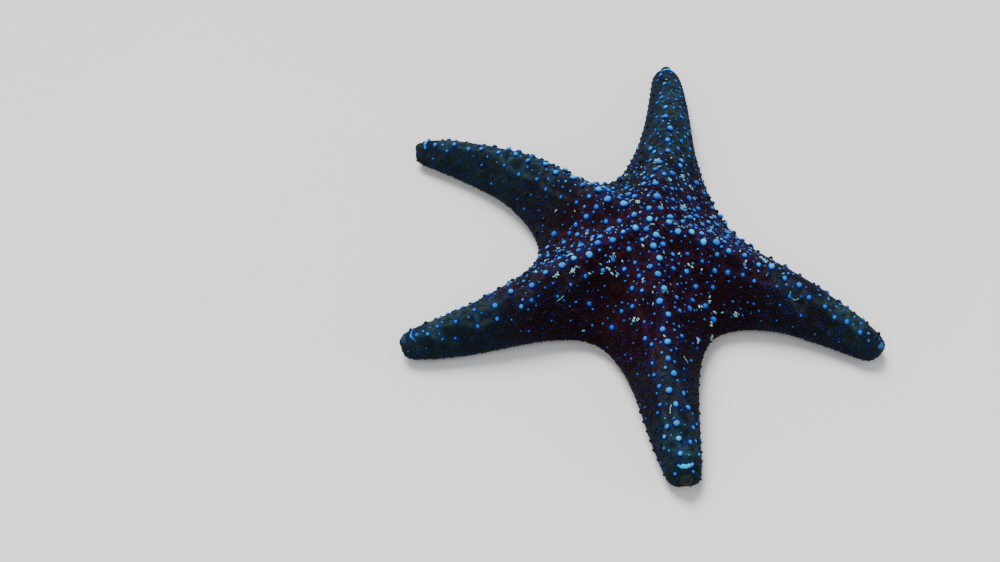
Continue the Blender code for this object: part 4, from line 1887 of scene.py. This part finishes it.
@dataclass
class Mouth:
    """The folded skin of the mouth, the five jaws round it and their spines."""

    plan: StarPlan
    rng: Chance
    reach: float = 6.4 * MM
    opening: float = 1.5 * MM
    folds: int = 25
    fold: float = 0.10 * MM
    ring_fold: float = 0.16 * MM
    hang: float = 0.25 * MM
    thick: float = 1.4 * MM
    drawn_in: float = 1.3 * MM
    jaw_size: Triple = (3.0 * MM, 1.35 * MM, 1.15 * MM)
    jaw_ring: float = 5.4 * MM
    jaw_gap: float = 0.95 * MM
    jaw_lift: float = 0.35 * MM
    spines_each: int = 8
    spine_radius: float = 0.36 * MM
    spine_spread: float = 1.9 * MM
    spine_ahead: float = 2.3 * MM
    spine: Pattern = Pattern.turned(
        [(1.0, -1.0), (0.95, 1.5), (0.78, 3.4), (0.40, 4.6), (0, 4.9)], 8
    )

    def build(self) -> None:
        """Builds and dresses the three pieces."""
        self.middle = box_middle("mouth")
        self.middle[2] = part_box("mouth")[0][2]
        self.add_lip()
        self.add_jaws()

    def add_lip(self) -> None:
        """The round folded skin, drawn in at the opening."""

        def place(share: Array, angle: Array) -> Array:
            """Points of a thick dish that hangs under the body, seen side down."""
            out = np.sin(pi * share)
            reach = self.reach * out
            near = np.exp(-((reach / self.opening) ** 2))
            fold = self.fold * np.cos(self.folds * angle) * smooth_step(0.1, 0.4, out)
            under = share > 0.5
            sag = np.where(under, self.hang - 0.10 * MM * np.cos(pi * share), self.thick)
            depth = np.where(under, self.drawn_in * near, 0.0)
            ripple = np.where(under, fold + self.ring_fold * np.cos(out * 16), 0.0)
            ripple *= 1 - near
            return self.middle + round_axis(reach, angle, sag + depth + ripple)

        mesh = mesh_from_arrays("mouth_skin", *polar_net(61, 150, place))
        points, _ = read_mesh(mesh)
        away_from = np.linalg.norm(points[:, :2] - self.middle[:2], axis=1)
        set_tint(mesh, "fold", smooth_step(0.3 * self.opening, 2.2 * self.opening, away_from))
        item = add_object(mesh, "mouth_skin")
        # painted shade: the skin is painted dark toward the mouth's opening, where the tint is low
        finish = RidgedFinish("mouth_skin", "fold", (0.012, 0.004, 0.004), (0.26, 0.115, 0.075))
        dress(item, finish.material())
        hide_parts("mouth")

    def add_jaws(self) -> None:
        """The five jaws, in pairs of plates between the grooves, and their spines."""
        jaws, spots, aims = [], [], []
        for index in range(len(self.plan.arms)):
            start, width = self.plan.gap_after(index)
            angle = start + width / 2
            out, side = np.array(ahead_of(angle)), np.array(left_of(angle))
            for turn in (-1, 1):
                middle = self.middle + out * self.jaw_ring + side * turn * self.jaw_gap
                middle[2] += self.jaw_lift
                jaws.append(self.jaw(middle, out, side))
            for spread in np.linspace(-1, 1, self.spines_each):
                back = abs(spread) * self.spine_spread
                spot = self.middle + out * (self.jaw_ring - self.spine_ahead + back)
                spot = spot + side * spread * self.spine_spread
                spots.append(spot + (0, 0, 0.1 * MM))
                aims.append(-out * (1 - 0.3 * abs(spread)) - (0, 0, 0.75) - side * spread * 0.2)
        points = np.concatenate([points for points, _ in jaws])
        faces = np.concatenate(
            [triangles + index * len(shape) for index, (shape, triangles) in enumerate(jaws)]
        )
        item = add_object(mesh_from_arrays("jaws", points, faces), "jaws")
        finish = PlainFinish("jaw_plates", (0.34, 0.17, 0.11), (0.20, 0.08, 0.05), grain=0.0006)
        dress(item, finish.material())
        count = len(spots)
        places = Places(
            np.array(spots), unit(np.array(aims)), np.full(count, self.spine_radius),
            self.rng.random(count),
        )
        finish = PlainFinish("jaw_spine", (0.46, 0.30, 0.22), (0.30, 0.15, 0.10))
        Crowd("jaw_spines", self.spine, places, lumps=0.03, lean=0.06).show(
            self.rng, finish.material()
        )

    def jaw(self, middle: Array, out: Array, side: Array) -> Arrays:
        """One jaw plate: a blunt lump that tapers toward the mouth.

        Args:
            middle: Where its middle lies.
            out: The direction away from the mouth.
            side: The direction across it.

        Returns:
            The points and the triangles.
        """
        length, width, depth = self.jaw_size

        def place(share: Array, angle: Array) -> Array:
            """Points of a lump whose poles lie along its length."""
            along = np.cos(pi * share)
            girth = np.sin(pi * share) ** 0.8 * (1 + 0.25 * along)
            lump = 1 + 0.05 * np.cos(3 * angle + 9 * share)
            return (
                middle
                + (along * length)[..., None] * out
                + (girth * lump * width * np.cos(angle))[..., None] * side
                + (girth * lump * depth * np.sin(angle))[..., None] * np.array([0, 0, 1.0])
            )

        return polar_net(13, 20, place)


# ---- plates of their own
@dataclass
class SievePlate:
    """The furrowed button through which the animal takes in water."""

    surface: Surface
    radius: float = 3.4 * MM
    dome: float = 0.95 * MM
    foot: float = 0.9 * MM
    furrow: float = 0.20 * MM
    rays: int = 9
    brim: float = 0.80

    def build(self) -> None:
        """Builds and dresses the plate."""
        spot, normal, _, _ = self.surface.tree.find_nearest(box_middle("madreporite"))
        turn = normal.to_track_quat("Z", "Y").to_matrix()

        def ridges(reach: Array, angle: Array) -> Array:
            """Height of the ridges between furrows, which fork outward twice."""
            bend = 0.55 * np.sin(3 * angle + 1.0) + 0.35 * np.sin(5 * angle - reach * 5)
            height = np.zeros_like(reach)
            for level, start in enumerate((0.10, 0.34, 0.66)):
                count = self.rays * 2**level
                wave = 0.5 + 0.5 * np.cos(count * (angle + 0.16 * bend) + 2.3 * level)
                share = smooth_step(start, start + 0.14, reach)
                height = height * (1 - share) + wave * share
            return height

        def place(share: Array, angle: Array) -> Array:
            """Points of the plate, from its crown down to a foot under the skin."""
            over = np.minimum(share / self.brim, 1.0)
            below = np.clip((share - self.brim) / (1 - self.brim), 0.0, 1.0)
            reach = over * (1 - below)
            edge = smooth_step(1.0, 0.86, over)
            wavy = 1 + 0.035 * np.sin(7 * angle) + 0.02 * np.sin(11 * angle + 1)
            height = self.dome * (1 - 0.55 * over**2) - self.dome * 0.45 * (1 - edge)
            height = height + self.furrow * ridges(over, angle) * edge
            height = np.where(below > 0, -self.foot * smooth_step(0, 0.3, below), height)
            return round_axis(self.radius * wavy * reach, angle, height)

        mesh = mesh_from_arrays("sieve_plate", *polar_net(58, 288, place))
        points, _ = read_mesh(mesh)
        reach = np.linalg.norm(points[:, :2], axis=1) / self.radius
        angle = np.arctan2(points[:, 1], points[:, 0])
        set_tint(mesh, "ridge", ridges(reach, angle))
        mesh.transform(Matrix.Translation(spot) @ turn.to_4x4())
        item = add_object(mesh, "sieve_plate")
        # painted shade: the furrows between the ridges are painted darker
        finish = RidgedFinish(
            "sieve_plate", "ridge", (0.004, 0.0008, 0.0012), (0.014, 0.0022, 0.0034)
        )
        dress(item, finish.material())
        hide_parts("madreporite")


@dataclass
class TipPlates:
    """The blunt plate at each arm's tip, with its eyespot beneath."""

    plan: StarPlan
    size: Triple = (2.7 * MM, 2.85 * MM, 2.5 * MM)
    sink: float = 0.8 * MM
    eye_radius: float = 0.55 * MM

    def build(self) -> None:
        """Builds a plate and an eyespot on each arm."""
        plate_finish = TipFinish().material()
        eye_finish = PlainFinish(
            "eyespot", (0.28, 0.010, 0.006), (0.16, 0.004, 0.004), roughness=0.25
        ).material()
        for arm in self.plan.arms:
            ahead = np.array(ahead_of(arm.line(1.0)[1]))
            middle = box_middle(f"tip_plate_{arm.name}") - ahead * self.sink
            plate = self.plate(arm, middle, ahead)
            dress(plate, plate_finish)
            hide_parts(f"tip_plate_{arm.name}")
            dress(self.eyespot(arm, middle, ahead), eye_finish)

    def plate(self, arm: ArmPlan, middle: Array, ahead: Array) -> Object:
        """One plate: a rounded lump, cleft below where the groove ends.

        Args:
            arm: The arm that it ends.
            middle: Where its middle lies.
            ahead: The direction that the arm's tip points in.

        Returns:
            The plate.
        """
        axes = np.array([ahead, np.cross((0, 0, 1.0), ahead), (0, 0, 1.0)])

        def place(share: Array, angle: Array) -> Array:
            """Points round the upright axis."""
            level = np.cos(pi * share)
            girth = np.sin(pi * share) ** 0.75
            x, y = girth * np.cos(angle), girth * np.sin(angle)
            cleft = np.exp(-((y / 0.28) ** 2)) * smooth_step(0.1, -0.9, level)
            lump = 1 + 0.035 * np.sin(5 * angle + 3 * level) * girth
            local = np.stack([x * lump - 0.25 * cleft, y * lump, level + 0.45 * cleft], axis=-1)
            return middle + (local * np.array(self.size)) @ axes

        mesh = mesh_from_arrays(f"tip_{arm.name}", *polar_net(31, 56, place))
        points, _ = read_mesh(mesh)
        local = (points - middle) @ axes.T / np.array(self.size)
        height = local[:, 2] - 0.35 * np.abs(local[:, 1])
        set_tint(mesh, "pale", smooth_step(0.10, 0.80, height) * (1 - arm.crest) ** 3)
        return add_object(mesh, f"tip_{arm.name}")

    def eyespot(self, arm: ArmPlan, middle: Array, ahead: Array) -> Object:
        """The red eyespot in the cleft.

        Args:
            arm: The arm that it ends.
            middle: Where the plate's middle lies.
            ahead: The direction that the arm's tip points in.

        Returns:
            The eyespot.
        """
        spot = middle + ahead * self.size[0] * 0.62 - (0, 0, self.size[2] * 0.42)

        def place(share: Array, angle: Array) -> Array:
            """Points of a small cushion."""
            girth = np.sin(pi * share) * (1 + 0.06 * np.cos(5 * angle))
            return spot + round_axis(girth, angle, np.cos(pi * share)) * self.eye_radius

        name = f"eyespot_{arm.name}"
        return add_object(mesh_from_arrays(name, *polar_net(11, 20, place)), name)


# ---- studio
def away(azimuth: float, elevation: float) -> Vector:
    """The direction from the animal toward a viewer; azimuth 0 stands on -Y."""
    a, e = radians(azimuth), radians(elevation)
    return Vector((sin(a) * cos(e), -cos(a) * cos(e), sin(e)))


def turn_to(item: Object, direction: Vector) -> None:
    """Turns a lamp or the camera to face along a direction."""
    item.rotation_euler = direction.to_track_quat("-Z", "Y").to_euler()


def hang(kind: str, name: str, power: float, colour: Colour) -> Object:
    """Adds a lamp of one kind."""
    data = bpy.data.lights.new(name, kind)
    data.energy = power
    data.color = colour
    return add_object(data, name)


@dataclass(frozen=True)
class Lamp:
    """A soft round lamp aimed at the animal."""

    name: str
    azimuth: float
    elevation: float
    distance: float
    size: float
    power: float
    colour: Colour = (1.0, 1.0, 1.0)

    def build(self, target: Vector) -> None:
        """Hangs the lamp."""
        item = hang("AREA", self.name, self.power, self.colour)
        item.data.shape = "DISK"
        item.data.size = self.size
        item.location = target + away(self.azimuth, self.elevation) * self.distance
        turn_to(item, target - item.location)


@dataclass(frozen=True)
class Overhead:
    """The key light: so broad and far off that it lights the whole floor evenly."""

    azimuth: float = 205.0
    elevation: float = 55.0
    spread: float = 32.0
    strength: float = 4.8
    colour: Colour = (1.0, 0.98, 0.95)

    def build(self) -> None:
        """Hangs the light."""
        item = hang("SUN", "key", self.strength, self.colour)
        item.data.angle = radians(self.spread)
        turn_to(item, -away(self.azimuth, self.elevation))


@dataclass(frozen=True)
class Studio:
    """The pale floor, the soft lights and the camera."""

    centre: Vector
    elevation: float = 51.15
    distance: float = 0.5490
    field_of_view: float = 46.0
    aim: Pair = (-0.0667, -0.0050)
    sky: Colour = (0.9, 0.95, 1.0)
    sky_strength: float = 0.50
    floor_size: float = 30.0
    key: Overhead = Overhead()
    lamps: tuple[Lamp, ...] = (
        Lamp("fill", -50.0, 40.0, 1.3, 1.1, 6.0, (0.93, 0.97, 1.0)),
        Lamp("side", 75.0, 30.0, 1.2, 0.8, 4.0),
    )

    def build(self) -> None:
        """Builds all three."""
        self.lay_floor()
        self.key.build()
        for lamp in self.lamps:
            lamp.build(self.centre)
        world = bpy.data.worlds.new("studio")
        world.use_nodes = True
        sky = world.node_tree.nodes["Background"].inputs
        sky["Color"].default_value = (*self.sky, 1.0)
        sky["Strength"].default_value = self.sky_strength
        bpy.context.scene.world = world
        self.set_camera()

    def lay_floor(self) -> None:
        """A wide pale floor."""
        net = bmesh.new()
        bmesh.ops.create_grid(net, x_segments=8, y_segments=8, size=self.floor_size)
        floor = add_object(mesh_from_net("floor", net), "floor")
        graph = Graph("pale_floor")
        tone = graph.mix(graph.noise(0.25, 2), (0.70, 0.71, 0.70), (0.76, 0.77, 0.76))
        floor.data.materials.append(graph.set(Base_Color=tone, Roughness=0.75))

    def set_camera(self) -> None:
        """Sets the camera."""
        data = bpy.data.cameras.new("camera")
        data.sensor_width = 36.0
        data.lens = data.sensor_width / 2 / tan(radians(self.field_of_view) / 2)
        data.clip_start = 0.01
        camera = add_object(data, "camera")
        back = away(0.0, self.elevation)
        camera.location = self.centre + Vector((*self.aim, 0.0)) + back * self.distance
        turn_to(camera, -back)
        bpy.context.scene.camera = camera


# ---- assembly
def other_pieces(plan: StarPlan) -> Places:
    """Where the sieve plate, the tip plates and the mouth lie, with room round them."""
    rooms = {"madreporite": 4.0 * MM, "mouth": 7.6 * MM}
    rooms |= {f"tip_plate_{arm.name}": 3.4 * MM for arm in plan.arms}
    middles = np.array([box_middle(name) for name in rooms])
    upright = np.tile((0.0, 0.0, 1.0), (len(rooms), 1))
    return Places(middles, upright, np.array(list(rooms.values())), np.zeros(len(rooms)))


def main() -> None:
    """Builds the sea star and the studio round it."""
    logging.basicConfig(level=logging.INFO, format="%(name)s: %(message)s")
    rng = np.random.default_rng(4)
    plan = StarPlan()
    smooth = BodyCage(plan).build()
    body = Surface(smooth)
    kept_clear = other_pieces(plan)
    knob_plan = KnobPlan(plan, body, rng)
    knob_plan.set_out(kept_clear)
    skin = Skin(plan, smooth, body, knob_plan, rng)
    surface = skin.build()
    skin.dress(SkinFinish(BodyTones(plan.centre)).material())
    Knobs(knob_plan, surface, rng).build()
    Flecks(surface, knob_plan, rng).build()
    Granules(plan, skin, surface, knob_plan, kept_clear, rng).build()
    GrooveLining(plan, surface, rng).build()
    Mouth(plan, rng).build()
    SievePlate(surface).build()
    TipPlates(plan).build()
    Studio(plan.centre).build()


if __name__ == "__main__":
    main()
